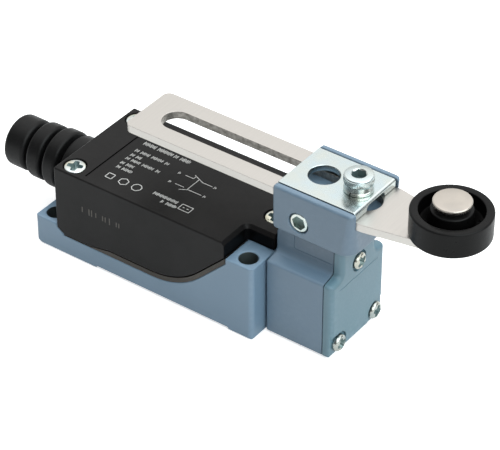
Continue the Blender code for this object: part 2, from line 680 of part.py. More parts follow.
def build_terminals(metal, screw_metal):
    """Four L-shaped strips. The closed pair stands on the head side of the bridge, the open pair opposite."""
    strip_z0, strip_z1, tab_z = 14.1 * MM, 14.9 * MM, 8.4 * MM
    spots = {"nc": (-20.6 * MM, -10.6 * MM, -15.0 * MM), "no": (-23.4 * MM, -33.4 * MM, -29.0 * MM)}
    for kind, (contact_x, end_x, screw_x) in spots.items():
        behind_x = contact_x + math.copysign(0.8 * MM, end_x - contact_x)
        outline = [(contact_x, tab_z), (contact_x, strip_z1), (end_x, strip_z1), (end_x, strip_z0)]
        outline += [(behind_x, strip_z0), (behind_x, tab_z)]
        for name, side in (("front", -1), ("rear", 1)):
            near, far = sorted((side * 4.6 * MM, side * 8.2 * MM))
            hole = rod(1.5 * MM, 0, 30 * MM, AXIS_Z, (screw_x, side * 6.5 * MM, 0), SMALL_STEPS)
            strip = carve(prism(outline, near, far, "XZ"), hole)
            add_piece(f"terminal_{kind}_{name}", strip, metal)
            place = (screw_x, side * 6.5 * MM, 15.0 * MM)
            screw = pan_screw(2.2 * MM, 1.5 * MM, 1.3 * MM, 5.0 * MM)
            add_piece(f"terminal_screw_{kind}_{name}", placed(screw, AXIS_Z, place), screw_metal, place)


def build_plunger(material, axis):
    blank = box((PLUNGER_X0, -2.5 * MM, ROD_Z - 2.5 * MM), (PLUNGER_X1, 2.5 * MM, ROD_Z + 2.5 * MM))
    window = box((WINDOW_X0, -5 * MM, ROD_Z - 1.3 * MM), (WINDOW_X1, 5 * MM, ROD_Z + 1.3 * MM))
    place = (PLUNGER_X1, 0, ROD_Z)
    add_piece("switch_plunger", carve(blank, window), material, place, axis)


def build_bridge(material, axis):
    """The moving contact: a flat bar across the plunger's window."""
    half, low, high = 8.0 * MM, ROD_Z - 1.05 * MM, ROD_Z + 1.05 * MM
    place = (BRIDGE_X1, 0, ROD_Z)
    add_piece("contact_bridge", box((BRIDGE_X0, -half, low), (BRIDGE_X1, half, high)), material, place, axis)


def build_push_rod(material, axis):
    """From the cam to the contacts, with the flange that the return spring pushes."""
    start, flange, end = -7.5 * MM, 4.7 * MM, SHAFT_X - CAM_RADIUS - 0.3 * MM
    profile = [(0, start), (ROD_RADIUS, start), (ROD_RADIUS, flange), (4.0 * MM, flange)]
    profile += [(4.0 * MM, end - 0.5 * MM), (3.5 * MM, end), (0, end)]
    rod_bm = turned(profile, AXIS_X, (0, 0, ROD_Z), SMALL_STEPS)
    add_piece("push_rod", rod_bm, material, (end, 0, ROD_Z), axis)


def build_springs(material):
    """Each spring by its coil radius, wire radius, ends along X and number of turns."""
    springs = {
        "return_spring": (3.1 * MM, 0.35 * MM, -3.8 * MM, 4.5 * MM, 6),
        "plunger_spring": (1.7 * MM, 0.25 * MM, -34.0 * MM, -27.2 * MM, 7),
        "bridge_spring": (0.85 * MM, 0.2 * MM, -20.7 * MM, -16.8 * MM, 6),
    }
    for name, sizes in springs.items():
        add_piece(name, coil(*sizes, AXIS_X, (0, 0, ROD_Z)), material)


# ---------------------------------------------------------------- shaft and lever


def build_shaft(material, axis):
    profile = [(0, 2.4), (2.1, 2.4), (2.4, 2.7), (2.4, 6.3), (3.5, 6.3), (3.5, 13.9), (3.1, 13.9)]
    profile += [(3.1, 14.7), (3.5, 14.7), (3.5, 35.4), (3.2, 35.7), (0, 35.7)]
    shaft = turned([(r * MM, z * MM) for r, z in profile], AXIS_Z, (SHAFT_X, 0, 0))
    add_piece("lever_shaft", shaft, material, (SHAFT_X, 0, 0), axis)


def build_cam(material, axis):
    """A disc with a flat towards the push rod; turning either way brings a corner of the flat to the rod."""
    half_angle = math.degrees(math.acos(CAM_FLAT / CAM_RADIUS))
    outline = arc(SHAFT_X, 0, CAM_RADIUS, -180 + half_angle, 180 - half_angle, 30)
    bore = rod(SHAFT_RADIUS + 0.05 * MM, 0, 30 * MM, AXIS_Z, (SHAFT_X, 0, 0))
    add_piece("shaft_cam", carve(prism(outline, CAM_Z0, CAM_Z1), bore), material, (SHAFT_X, 0, 0), axis)


def build_clip(material, axis):
    """An E-shaped retaining clip in the shaft's groove."""
    blank = ring(3.2 * MM, 5.2 * MM, 14.05 * MM, 14.55 * MM, AXIS_Z, (SHAFT_X, 0, 0), SMALL_STEPS)
    mouth = box((SHAFT_X, -1.9 * MM, 13 * MM), (SHAFT_X + 9 * MM, 1.9 * MM, 16 * MM))
    add_piece("shaft_clip", carve(blank, mouth), material, (SHAFT_X, 0, 0), axis)


def build_clamp_block(material, axis):
    """Block on the shaft, with a channel for the arm between two rails."""
    front, back, half = 2.6 * MM, 0.8 * MM, BLOCK_HALF_WIDTH
    outline = arc(BLOCK_X1 - front, front - half, front, -90, 0, 6)
    outline += arc(BLOCK_X1 - front, half - front, front, 0, 90, 6)
    outline += arc(BLOCK_X0 + back, half - back, back, 90, 180, 3)
    outline += arc(BLOCK_X0 + back, back - half, back, 180, 270, 3)
    channel = box((-5 * MM, -CHANNEL_HALF_WIDTH, ARM_Z0 - 0.1 * MM), (40 * MM, CHANNEL_HALF_WIDTH, 50 * MM))
    bore = rod(SHAFT_RADIUS + 0.05 * MM, 20 * MM, 35.9 * MM, AXIS_Z, (SHAFT_X, 0, 0))
    screw_place = (SHAFT_X, 0, SET_SCREW_Z)
    screw_hole = rod(2.6 * MM, -20 * MM, 0, AXIS_Y, screw_place, SMALL_STEPS)
    bolt_hole = rod(2.1 * MM, 30.5 * MM, 45 * MM, AXIS_Z, (BOLT_X, 0, 0), SMALL_STEPS)
    solid = prism(outline, BLOCK_Z0, BLOCK_TOP)
    block = carve(solid, channel, bore, screw_hole, bolt_hole)
    add_piece("clamp_block", block, material, (SHAFT_X, 0, 0), axis)


def build_set_screw(material, axis):
    """Hexagon-socket set screw, from the block's front face to the shaft."""
    length = 5.9 * MM
    profile = [(0, 0), (2.2 * MM, 0), (2.5 * MM, 0.4 * MM), (2.5 * MM, length - 0.8 * MM)]
    profile += [(1.6 * MM, length), (0, length)]
    screw = carve(turned(profile, steps=SMALL_STEPS), hexagon_cutter(2.6 * MM, -MM, 2.2 * MM))
    place = (SHAFT_X, -BLOCK_HALF_WIDTH + 0.15 * MM, SET_SCREW_Z)
    add_piece("set_screw", placed(screw, AXIS_Y, place), material, place, axis)


def build_clamp_plate(material, axis):
    """Plate over the arm, with an end bent down onto the arm as two feet."""
    thick, bend = BLOCK_TOP - PLATE_Z0, 1.0 * MM
    foot_z = ARM_Z1 + 0.1 * MM
    inner_x = PLATE_X1 - thick
    outline = [(PLATE_X0, PLATE_Z0), (inner_x, PLATE_Z0), (inner_x, foot_z), (PLATE_X1, foot_z)]
    outline += arc(PLATE_X1 - bend, BLOCK_TOP - bend, bend, 0, 90, 5)
    outline += [(PLATE_X0, BLOCK_TOP)]
    opening_half, opening_top = 3.1 * MM, 40.2 * MM
    opening = [(-opening_half, 30 * MM), (opening_half, 30 * MM)]
    opening += arc(opening_half - 0.8 * MM, opening_top - 0.8 * MM, 0.8 * MM, 0, 90, 4)
    opening += arc(-opening_half + 0.8 * MM, opening_top - 0.8 * MM, 0.8 * MM, 90, 180, 4)
    cutters = [prism(opening, inner_x - 0.2 * MM, 40 * MM, "YZ")]
    cutters.append(rod(3.6 * MM, 30 * MM, 50 * MM, AXIS_Z, (SHAFT_X, 0, 0)))
    cutters.append(rod(2.25 * MM, 30 * MM, 50 * MM, AXIS_Z, (BOLT_X, 0, 0), SMALL_STEPS))
    solid = prism(outline, -PLATE_HALF_WIDTH, PLATE_HALF_WIDTH, "XZ")
    add_piece("clamp_plate", carve(solid, *cutters), material, (SHAFT_X, 0, 0), axis)


def build_clamp_bolt(material, axis):
    seat, top = BLOCK_TOP + 1.0 * MM, 45.2 * MM
    radius = 3.4 * MM
    profile = [(0, 30.9 * MM), (1.95 * MM, 30.9 * MM), (1.95 * MM, seat), (radius, seat)]
    profile += [(radius, top - 0.35 * MM), (radius - 0.35 * MM, top), (0, top)]
    blank = turned(profile, AXIS_Z, (BOLT_X, 0, 0))
    socket = placed(hexagon_cutter(3.0 * MM, top - 2.0 * MM, top + MM), AXIS_Z, (BOLT_X, 0, 0))
    add_piece("clamp_bolt", carve(blank, socket), material, (BOLT_X, 0, seat), axis)


def build_spring_washer(material, axis):
    """A split washer: a ring with a slanted cut."""
    blank = ring(2.15 * MM, 3.35 * MM, BLOCK_TOP + 0.08 * MM, BLOCK_TOP + 0.92 * MM, AXIS_Z, (BOLT_X, 0, 0))
    low, high = BLOCK_TOP - MM, BLOCK_TOP + 2 * MM
    outline = [(-0.5 * MM, low), (-0.2 * MM, low), (0.5 * MM, high), (0.2 * MM, high)]
    split = prism([(BOLT_X + x, z) for x, z in outline], -6 * MM, 0, "XZ")
    add_piece("spring_washer", carve(blank, split), material, (BOLT_X, 0, BLOCK_TOP), axis)


def arm_outline():
    """Flat bar with rounded corners, tapering to a round tip under the roller."""
    corner = 1.8 * MM
    reach = ROLLER_X - ARM_TAPER_X
    lean = math.degrees(math.asin((ARM_HALF_WIDTH - ARM_TIP_RADIUS) / reach))
    tip = arc(ROLLER_X, 0, ARM_TIP_RADIUS, -90 + lean, 90 - lean, 14)
    outline = [(ARM_TAPER_X, -ARM_HALF_WIDTH)] + tip + [(ARM_TAPER_X, ARM_HALF_WIDTH)]
    outline += arc(ARM_X0 + corner, ARM_HALF_WIDTH - corner, corner, 90, 180, 5)
    outline += arc(ARM_X0 + corner, -ARM_HALF_WIDTH + corner, corner, 180, 270, 5)
    return outline


def slot_outline():
    outline = arc(SLOT_X0, 0, SLOT_HALF_WIDTH, 90, 270, 10)
    return outline + arc(BOLT_X + 0.2 * MM, 0, SLOT_HALF_WIDTH, -90, 90, 10)


def build_arm(material, axis):
    pin_hole = rod(2.15 * MM, 30 * MM, 50 * MM, AXIS_Z, (ROLLER_X, 0, 0), SMALL_STEPS)
    slot = prism(slot_outline(), 30 * MM, 50 * MM)
    arm = carve(prism(arm_outline(), ARM_Z0, ARM_Z1), slot, pin_hole)
    add_piece("lever_arm", arm, material, (SHAFT_X, 0, 0), axis)


def build_roller_pin(material, axis):
    """A rivet: wide flat head above the roller, journal, and a peened end under the arm."""
    profile = [(0, 36.0), (2.6, 36.0), (2.9, 36.4), (2.9, 36.85), (2.05, 36.85), (2.05, 39.0), (2.45, 39.0)]
    profile += [(2.45, 47.5), (4.1, 47.5), (4.3, 47.7), (4.3, 48.2), (4.1, 48.4), (0, 48.4)]
    pin = turned([(r * MM, z * MM) for r, z in profile], AXIS_Z, (ROLLER_X, 0, 0))
    add_piece("roller_pin", pin, material, (ROLLER_X, 0, 0), axis)
    low, high = ARM_Z1 + 0.1 * MM, ROLLER_Z0 - 0.1 * MM
    washer = ring(2.55 * MM, 4.2 * MM, low, high, AXIS_Z, (ROLLER_X, 0, 0), SMALL_STEPS)
    add_piece("roller_washer", washer, material, (ROLLER_X, 0, 0), axis)


def build_roller(material, axis):
    """Plastic roller: thick rim, deep annular recess and a hub that stands just above the rim."""
    r_out, rim_in, hub_out, bore = ROLLER_RADIUS, 7.2 * MM, 4.7 * MM, 2.6 * MM
    edge, web = 0.35 * MM, 42.6 * MM
    profile = [(bore, ROLLER_Z0), (r_out - edge, ROLLER_Z0), (r_out, ROLLER_Z0 + edge)]
    profile += [(r_out, ROLLER_Z1 - edge), (r_out - edge, ROLLER_Z1), (rim_in, ROLLER_Z1), (rim_in, web)]
    profile += [(hub_out, web), (hub_out, ROLLER_Z1 + 0.4 * MM), (bore, ROLLER_Z1 + 0.4 * MM)]
    roller = turned(profile, AXIS_Z, (ROLLER_X, 0, 0), 56)
    add_piece("roller", roller, material, (ROLLER_X, 0, 0), axis)


def build_all():
    clear_scene()
    paint = make_material("blue_grey_paint", (0.17, 0.24, 0.32), 0.42, 0.0)
    black = make_material("black_plastic", (0.025, 0.025, 0.027), 0.5, 0.0)
    rubber = make_material("black_rubber", (0.012, 0.012, 0.012), 0.7, 0.0)
    zinc = make_material("zinc_plate", (0.75, 0.78, 0.76), 0.25, 1.0)
    nickel = make_material("satin_nickel", (0.78, 0.75, 0.71), 0.35, 1.0)
    brass = make_material("brass", (0.75, 0.55, 0.25), 0.3, 1.0)
    moulding = make_material("switch_moulding", (0.55, 0.52, 0.45), 0.5, 0.0)

    build_base(paint)
    build_cover(black)
    build_gasket(rubber)
    build_cover_screws(zinc)
    build_head_block(paint)
    build_head_cap(paint)
    build_head_seals(rubber)
    build_cap_screws(zinc)
    build_shaft_bush(brass)
    build_cable_boot(rubber)
    build_gland_parts(black, rubber)
    build_switch_block(moulding)
    build_terminals(brass, zinc)
    build_ground_screw(zinc)
    build_springs(zinc)

    plunger_axis = add_axis("plunger_axis", (PLUNGER_X1, 0, ROD_Z))
    bridge_axis = add_axis("bridge_axis", (BRIDGE_X1, 0, ROD_Z))
    rod_axis = add_axis("rod_axis", (SHAFT_X - CAM_RADIUS, 0, ROD_Z))
    build_plunger(black, plunger_axis)
    build_bridge(brass, bridge_axis)
    build_push_rod(black, rod_axis)

    lever_axis = add_axis("lever_axis", (SHAFT_X, 0, 0))
    build_shaft(nickel, lever_axis)
    build_cam(zinc, lever_axis)
    build_clip(zinc, lever_axis)
    build_clamp_block(paint, lever_axis)
    build_set_screw(zinc, lever_axis)
    build_clamp_plate(zinc, lever_axis)
    build_clamp_bolt(zinc, lever_axis)
    build_spring_washer(zinc, lever_axis)

    arm_axis = add_axis("arm_axis", (SHAFT_X, 0, 0), lever_axis)
    build_arm(nickel, arm_axis)
    build_roller_pin(nickel, arm_axis)
    roller_axis = add_axis("roller_axis", (ROLLER_X, 0, 0), arm_axis)
    build_roller(black, roller_axis)


build_all()
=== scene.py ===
"""The looks of the limit switch: finer shapes for the visible pieces, materials, print, light and camera.

Every size comes from the CAD boxes or is a named detail in millimetres times MM.
"""

import json
import math

import bmesh
import bpy
from mathutils import Matrix, Vector


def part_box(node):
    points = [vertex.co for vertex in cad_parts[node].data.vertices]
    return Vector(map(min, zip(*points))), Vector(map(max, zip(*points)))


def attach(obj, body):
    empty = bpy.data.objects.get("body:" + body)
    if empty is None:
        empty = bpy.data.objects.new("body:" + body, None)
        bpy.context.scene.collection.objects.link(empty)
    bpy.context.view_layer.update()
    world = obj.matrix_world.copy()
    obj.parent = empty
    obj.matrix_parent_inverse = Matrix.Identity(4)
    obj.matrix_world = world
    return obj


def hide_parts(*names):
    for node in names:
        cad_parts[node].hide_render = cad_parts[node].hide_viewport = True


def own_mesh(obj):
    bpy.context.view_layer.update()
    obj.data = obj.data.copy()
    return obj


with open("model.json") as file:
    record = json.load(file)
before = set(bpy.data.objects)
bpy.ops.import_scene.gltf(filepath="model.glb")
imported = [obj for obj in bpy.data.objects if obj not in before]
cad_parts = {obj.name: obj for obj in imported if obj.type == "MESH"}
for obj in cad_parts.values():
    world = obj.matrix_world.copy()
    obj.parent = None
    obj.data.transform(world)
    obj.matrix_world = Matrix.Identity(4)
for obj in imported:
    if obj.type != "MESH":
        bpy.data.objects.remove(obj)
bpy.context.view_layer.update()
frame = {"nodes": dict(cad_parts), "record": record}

MM = 0.001
ROUND = 96
SMALL_ROUND = 48
ALONG_X = Matrix.Rotation(math.radians(90), 4, "Y")
ALONG_Y = Matrix.Rotation(math.radians(-90), 4, "X")
ALONG_Z = Matrix.Identity(4)


# ---- places taken from the frame


def middle(node):
    lowest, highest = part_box(node)
    return (lowest + highest) / 2


SHAFT = middle("lever_shaft")
ROLLER = middle("roller")
GLAND = middle("cable_boot")
BOLT = middle("clamp_bolt")
ROD_Z = middle("push_rod").z
CAP_SCREW = middle("cap_screw_rear")
HOLE_PITCH_X = 56.0 * MM
HOLE_Y = 11.5 * MM
HOLE_RADIUS = 2.2 * MM


# ---- mesh tools


def arc(centre_a, centre_b, radius, start, end, steps):
    points = []
    for step in range(steps + 1):
        angle = math.radians(start + (end - start) * step / steps)
        points.append((centre_a + radius * math.cos(angle), centre_b + radius * math.sin(angle)))
    return points


def winding(outline):
    """1 for an outline that runs counter-clockwise, otherwise -1."""
    area = sum(a[0] * b[1] - b[0] * a[1] for a, b in zip([outline[-1], *outline], outline))
    return 1 if area > 0 else -1


def corner_ways(before, here, after, turn):
    """Unit directions into and out of a corner, the one inwards, and how far it moves each side."""
    along_in, along_out = (here - before).normalized(), (after - here).normalized()
    side_in, side_out = (Vector((-along.y, along.x)) * turn for along in (along_in, along_out))
    inwards = (side_in + side_out).normalized()
    return along_in, along_out, inwards, inwards.dot(side_in)


def rounded(corners, inward=0.0, steps=5):
    """An outline from (a, b, radius) corners, moved inwards by a distance and rounded corner by corner."""
    spots = [Vector(corner[:2]) for corner in corners]
    turn = winding(corners)
    points = []
    for index, (here, corner) in enumerate(zip(spots, corners)):
        after = spots[(index + 1) % len(spots)]
        along_in, along_out, inwards, share = corner_ways(spots[index - 1], here, after, turn)
        here = here + inwards * inward / share
        radius = corner[2]
        if radius <= 0:
            points.append(tuple(here))
            continue
        convex = (along_in.x * along_out.y - along_in.y * along_out.x) * turn > 0
        radius = max(radius - inward, 0.02 * MM) if convex else radius + inward
        half = math.acos(max(-1.0, min(1.0, -along_in.dot(along_out)))) / 2
        centre = here + (along_out - along_in).normalized() * radius / math.sin(half)
        first = here - along_in * radius / math.tan(half) - centre
        last = here + along_out * radius / math.tan(half) - centre
        start = math.atan2(first.y, first.x)
        sweep = (math.atan2(last.y, last.x) - start + math.pi) % (2 * math.pi) - math.pi
        for step in range(steps + 1):
            angle = start + sweep * step / steps
            points.append((centre.x + radius * math.cos(angle), centre.y + radius * math.sin(angle)))
    return points


def inset(outline, distance):
    """The closed outline moved inwards, with mitred corners."""
    spots = [Vector(point) for point in outline]
    turn = winding(outline)
    moved = []
    for index, here in enumerate(spots):
        after = spots[(index + 1) % len(spots)]
        inwards, share = corner_ways(spots[index - 1], here, after, turn)[2:]
        moved.append(tuple(here + inwards * distance / max(share, 0.4)))
    return moved


def faced_outwards(bm):
    """The closed solid with every face looking out of it."""
    bmesh.ops.recalc_face_normals(bm, faces=bm.faces)
    if bm.calc_volume(signed=True) < 0:
        bmesh.ops.reverse_faces(bm, faces=bm.faces)
    return bm


def loft(sections, plane="XY"):
    """A closed solid through (outline, height) sections that all have as many points."""
    place = {
        "XY": lambda a, b, c: (a, b, c),
        "XZ": lambda a, b, c: (a, c, b),
        "YZ": lambda a, b, c: (c, a, b),
    }[plane]
    bm = bmesh.new()
    rings = [[bm.verts.new(place(a, b, height)) for a, b in outline] for outline, height in sections]
    bm.faces.new(rings[0])
    bm.faces.new(rings[-1])
    for lower, upper in zip(rings, rings[1:]):
        for index in range(len(lower)):
            after = (index + 1) % len(lower)
            bm.faces.new((lower[index], lower[after], upper[after], upper[index]))
    return faced_outwards(bm)


def quarter(steps):
    """(1 - cosine, 1 - sine) pairs from 0 to 90 degrees, to round a rim with."""
    turns = [math.radians(90 * step / steps) for step in range(steps + 1)]
    return [(1 - math.cos(turn), 1 - math.sin(turn)) for turn in turns]


def edge_profile(start, end, edge_start, edge_end, steps=4):
    """(inset, height) pairs of a slab whose two rims are rounded."""
    profile = [(edge_start * b, start + edge_start * a) for a, b in quarter(steps)]
    return profile + [(edge_end * b, end - edge_end * a) for a, b in reversed(quarter(steps))]


def slab(corners, start, end, edge_start, edge_end, plane="XY", steps=6):
    """A prism over rounded corners, with rounded rims."""
    profile = edge_profile(start, end, edge_start, edge_end)
    return loft([(rounded(corners, d, steps), h) for d, h in profile], plane)


def soft_slab(outline, start, end, edge_start, edge_end, plane="XY"):
    """A prism over a list of points, with rounded rims."""
    return loft([(inset(outline, d), h) for d, h in edge_profile(start, end, edge_start, edge_end)], plane)


def prism(outline, start, end, plane="XY"):
    return loft([(outline, start), (outline, end)], plane)


def box(lowest, highest):
    (x0, y0, z0), (x1, y1, z1) = lowest, highest
    return prism([(x0, y0), (x1, y0), (x1, y1), (x0, y1)], z0, z1)


def turned(profile, axis=ALONG_Z, centre=(0, 0, 0), steps=ROUND, ripple=None):
    """A solid of revolution from (radius, height) points, closed on the axis or into a ring."""
    bm = bmesh.new()
    rings = []
    for radius, height in profile:
        if radius < 1e-7:
            rings.append([bm.verts.new((0, 0, height))])
            continue
        ring = []
        for step in range(steps):
            angle = 2 * math.pi * step / steps
            reach = radius + (ripple(radius, height, step) if ripple else 0)
            ring.append(bm.verts.new((reach * math.cos(angle), reach * math.sin(angle), height)))
        rings.append(ring)
    pairs = list(zip(rings, rings[1:]))
    if len(rings[0]) > 1 and len(rings[-1]) > 1:
        pairs.append((rings[-1], rings[0]))
    for lower, upper in pairs:
        for step in range(steps):
            after = (step + 1) % steps
            corners = [lower[step % len(lower)], lower[after % len(lower)]]
            corners += [upper[after % len(upper)], upper[step % len(upper)]]
            corners = list(dict.fromkeys(corners))
            if len(corners) > 2:
                bm.faces.new(corners)
    return placed(faced_outwards(bm), axis, centre)


def placed(bm, axis, centre):
    bmesh.ops.transform(bm, matrix=Matrix.Translation(centre) @ axis, verts=bm.verts)
    return bm


def rod(radius, start, end, axis=ALONG_Z, centre=(0, 0, 0), steps=SMALL_ROUND):
    return turned([(0, start), (radius, start), (radius, end), (0, end)], axis, centre, steps)


def hole(radius, start, end, flare, axis=ALONG_Z, centre=(0, 0, 0), steps=SMALL_ROUND):
    """A cutter whose far end, at the height end, flares out to leave a rounded rim."""
    profile = [(0, start), (radius, start)]
    profile += [(radius + flare * a, end - flare * b) for a, b in quarter(3)]
    profile += [(radius + flare, end + MM), (0, end + MM)]
    return turned(profile, axis, centre, steps)


def mesh_object(name, bm):
    mesh = bpy.data.meshes.new(name)
    bm.to_mesh(mesh)
    bm.free()
    obj = bpy.data.objects.new(name, mesh)
    bpy.context.scene.collection.objects.link(obj)
    return obj


def carve(bm, *cutters):
    """The solid with each cutter taken away by an exact Boolean."""
    body = mesh_object("blank", bm)
    helpers = []
    for index, cutter in enumerate(cutters):
        helper = mesh_object(f"cutter_{index}", cutter)
        modifier = body.modifiers.new(f"cut_{index}", "BOOLEAN")
        modifier.operation = "DIFFERENCE"
        modifier.solver = "EXACT"
        modifier.object = helper
        helpers.append(helper)
    graph = bpy.context.evaluated_depsgraph_get()
    carved = bmesh.new()
    carved.from_mesh(body.evaluated_get(graph).to_mesh())
    for helper in [body, *helpers]:
        bpy.data.objects.remove(helper)
    return carved


def piece(name, bm, material, body, replaced=(), sharp=34):
    """Make the solid a visible piece that rides on a body and stands for the CAD nodes it replaces."""
    obj = mesh_object(name, bm)
    obj.data.materials.append(material)
    obj.data.shade_smooth()
    obj.data.set_sharp_from_angle(angle=math.radians(sharp))
    weighted = obj.modifiers.new("weighted_normals", "WEIGHTED_NORMAL")
    weighted.keep_sharp = True
    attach(obj, body)
    if replaced:
        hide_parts(*replaced)
    return obj


def repaint(obj, material, chosen):
    """Give the faces that are chosen by their centre and normal a second material."""
    obj.data.materials.append(material)
    for face in obj.data.polygons:
        if chosen(face.center, face.normal):
            face.material_index = 1


# ---- materials


class Nodes:
    """A short way to add and join shader nodes."""

    def __init__(self, tree):
        self.tree = tree
        self.shader = tree.nodes.get("Principled BSDF")

    def add(self, kind, **settings):
        node = self.tree.nodes.new(kind)
        for name, value in settings.items():
            if name in node.inputs:
                self.feed(value, node.inputs[name])
            else:
                setattr(node, name, value)
        return node

    def feed(self, value, socket):
        if isinstance(value, bpy.types.NodeSocket):
            self.tree.links.new(value, socket)
        else:
            socket.default_value = value

    def noise(self, scale, detail=2.0, stretch=(1, 1, 1)):
        """Noise in object space; scale counts blobs per metre."""
        place = self.add("ShaderNodeTexCoord").outputs["Object"]
        if tuple(stretch) != (1, 1, 1):
            mapping = self.add("ShaderNodeMapping", Vector=place)
            mapping.inputs["Scale"].default_value = stretch
            place = mapping.outputs["Vector"]
        return self.add("ShaderNodeTexNoise", Vector=place, Scale=scale, Detail=detail).outputs["Fac"]

    def spread(self, value, from_low, from_high, to_low, to_high):
        node = self.add("ShaderNodeMapRange")
        for name, number in (("Value", value), ("From Min", from_low), ("From Max", from_high)):
            self.feed(number, node.inputs[name])
        for name, number in (("To Min", to_low), ("To Max", to_high)):
            self.feed(number, node.inputs[name])
        return node.outputs["Result"]

    def drift(self, scale, detail, to_low=0.0, to_high=1.0):
        """Soft noise spread between two values."""
        return self.spread(self.noise(scale, detail), 0.3, 0.7, to_low, to_high)

    def mix(self, share, first, second):
        """A colour between two, each a socket or a (red, green, blue) tuple."""
        node = self.add("ShaderNodeMix", data_type="RGBA")
        self.feed(share, node.inputs[0])
        for value, socket in ((first, node.inputs[6]), (second, node.inputs[7])):
            self.feed((*value, 1.0) if isinstance(value, tuple) else value, socket)
        return node.outputs[2]

    def bump(self, height, strength, distance, normal=None):
        node = self.add("ShaderNodeBump", Height=height, Strength=strength, Distance=distance)
        if normal:
            self.feed(normal, node.inputs["Normal"])
        return node.outputs["Normal"]

    def surface(self, base, roughness, normal=None):
        """Join colour, roughness and normal to the shader."""
        self.feed(base, self.shader.inputs["Base Color"])
        self.feed(roughness, self.shader.inputs["Roughness"])
        if normal:
            self.feed(normal, self.shader.inputs["Normal"])

    def level(self, name, value):
        """Set one plain input of the shader."""
        self.shader.inputs[name].default_value = value


def new_material(name):
    material = bpy.data.materials.new(name)
    material.use_nodes = True
    return material, Nodes(material.node_tree)


def painted_edge_highlight(nodes, base, highlight_colour, amount):
    """Painted highlight: lighten convex edges a little, broken up by noise."""
    pointiness = nodes.add("ShaderNodeNewGeometry").outputs["Pointiness"]
    share = nodes.spread(pointiness, 0.52, 0.60, 0.0, amount)
    patch = nodes.spread(nodes.noise(900, 3), 0.4, 0.65, 0.0, 1.0)
    product = nodes.add("ShaderNodeMath", operation="MULTIPLY")
    nodes.feed(share, product.inputs[0])
    nodes.feed(patch, product.inputs[1])
    return nodes.mix(product.outputs[0], base, highlight_colour)


def scaled(nodes, base, factor):
    """The colour times a factor."""
    node = nodes.add("ShaderNodeVectorMath", operation="SCALE")
    nodes.feed(base, node.inputs[0])
    nodes.feed(factor, node.inputs["Scale"])
    return node.outputs[0]


def painted_top_light(nodes, base, lift):
    """Painted light: lighten the faces that look up, as if more light falls on them from above."""
    normal = nodes.add("ShaderNodeNewGeometry").outputs["Normal"]
    upwards = nodes.add("ShaderNodeSeparateXYZ", Vector=normal).outputs["Z"]
    return scaled(nodes, base, nodes.spread(upwards, 0.35, 0.95, 1.0, lift))


def paint_material(name, darker, lighter, shade_above=None):
    """Semi-gloss blue-grey paint on a die casting: faint orange peel and tone drift, with painted edge
    highlights, painted light on faces that look up and, above a given height, painted shadow.
    """
    material, nodes = new_material(name)
    base = nodes.mix(nodes.drift(70, 3), darker, lighter)
    # painted highlight: convex edges are lightened towards a paler blue
    base = painted_edge_highlight(nodes, base, (0.24, 0.32, 0.40), 0.35)
    # painted light: faces that look up are lightened
    base = painted_top_light(nodes, base, 1.42)
    # painted shadow: darker above the given height, where the lever block overhangs
    if shade_above:
        place = nodes.add("ShaderNodeTexCoord").outputs["Object"]
        height = nodes.add("ShaderNodeSeparateXYZ", Vector=place).outputs["Z"]
        base = scaled(nodes, base, nodes.spread(height, shade_above, shade_above + 2 * MM, 1.0, 0.72))
    peel = nodes.bump(nodes.noise(2200, 2), 0.16, 0.00006)
    wave = nodes.bump(nodes.noise(260, 2), 0.10, 0.0002, peel)
    nodes.surface(base, nodes.drift(1600, 2, 0.33, 0.43), wave)
    nodes.level("Specular IOR Level", 0.65)
    return material


def grained_black(name, base, gloss, grain_scale, grain_depth, sheen=0.2):
    """Moulded black plastic or rubber with a fine eroded grain."""
    material, nodes = new_material(name)
    nodes.level("Specular IOR Level", sheen)
    lighter = tuple(value * 1.35 + 0.001 for value in base)
    tone = nodes.mix(nodes.drift(120, 3), base, lighter)
    grain = nodes.bump(nodes.noise(grain_scale, 3), 0.35, grain_depth)
    nodes.surface(tone, nodes.drift(900, 3, gloss - 0.05, gloss + 0.06), grain)
    return material


def plated_material(name, base, tint, gloss, metal=1.0):
    """Bright plating: cool metal with faint chromate tints and fine handling marks."""
    material, nodes = new_material(name)
    nodes.level("Metallic", metal)
    tone = nodes.mix(nodes.spread(nodes.noise(240, 3), 0.35, 0.65, 0.0, 1.0), base, tint)
    waves = nodes.bump(nodes.noise(220, 2), 0.06, 0.00006)
    nodes.surface(tone, nodes.drift(700, 4, gloss - 0.04, gloss + 0.08), waves)
    return material


def brushed_material(name, base, darker, gloss, stretch):
    """Satin metal with fine parallel brush lines."""
    material, nodes = new_material(name)
    nodes.level("Metallic", 1.0)
    lines = nodes.noise(2600, 4, stretch)
    tone = nodes.mix(nodes.spread(lines, 0.3, 0.7, 0.0, 1.0), darker, base)
    roughness = nodes.spread(lines, 0.3, 0.7, gloss + 0.04, gloss - 0.03)
    nodes.surface(tone, roughness, nodes.bump(lines, 0.05, 0.00003))
    return material


def moulding_material():
    """Pale thermoset with darker flecks."""
    material, nodes = new_material("switch_moulding")
    flecks = nodes.spread(nodes.noise(1400, 3), 0.45, 0.7, 0.0, 1.0)
    tone = nodes.mix(flecks, (0.50, 0.45, 0.36), (0.38, 0.33, 0.26))
    nodes.surface(tone, 0.55, nodes.bump(nodes.noise(2400, 2), 0.2, 0.00006))
    return material


def print_material(name, ink, thin):
    """Pad-printed ink, slightly thin in places."""
    material, nodes = new_material(name)
    nodes.surface(nodes.mix(nodes.spread(nodes.noise(2600, 3), 0.3, 0.6, 0.0, 1.0), thin, ink), 0.5)
    return material


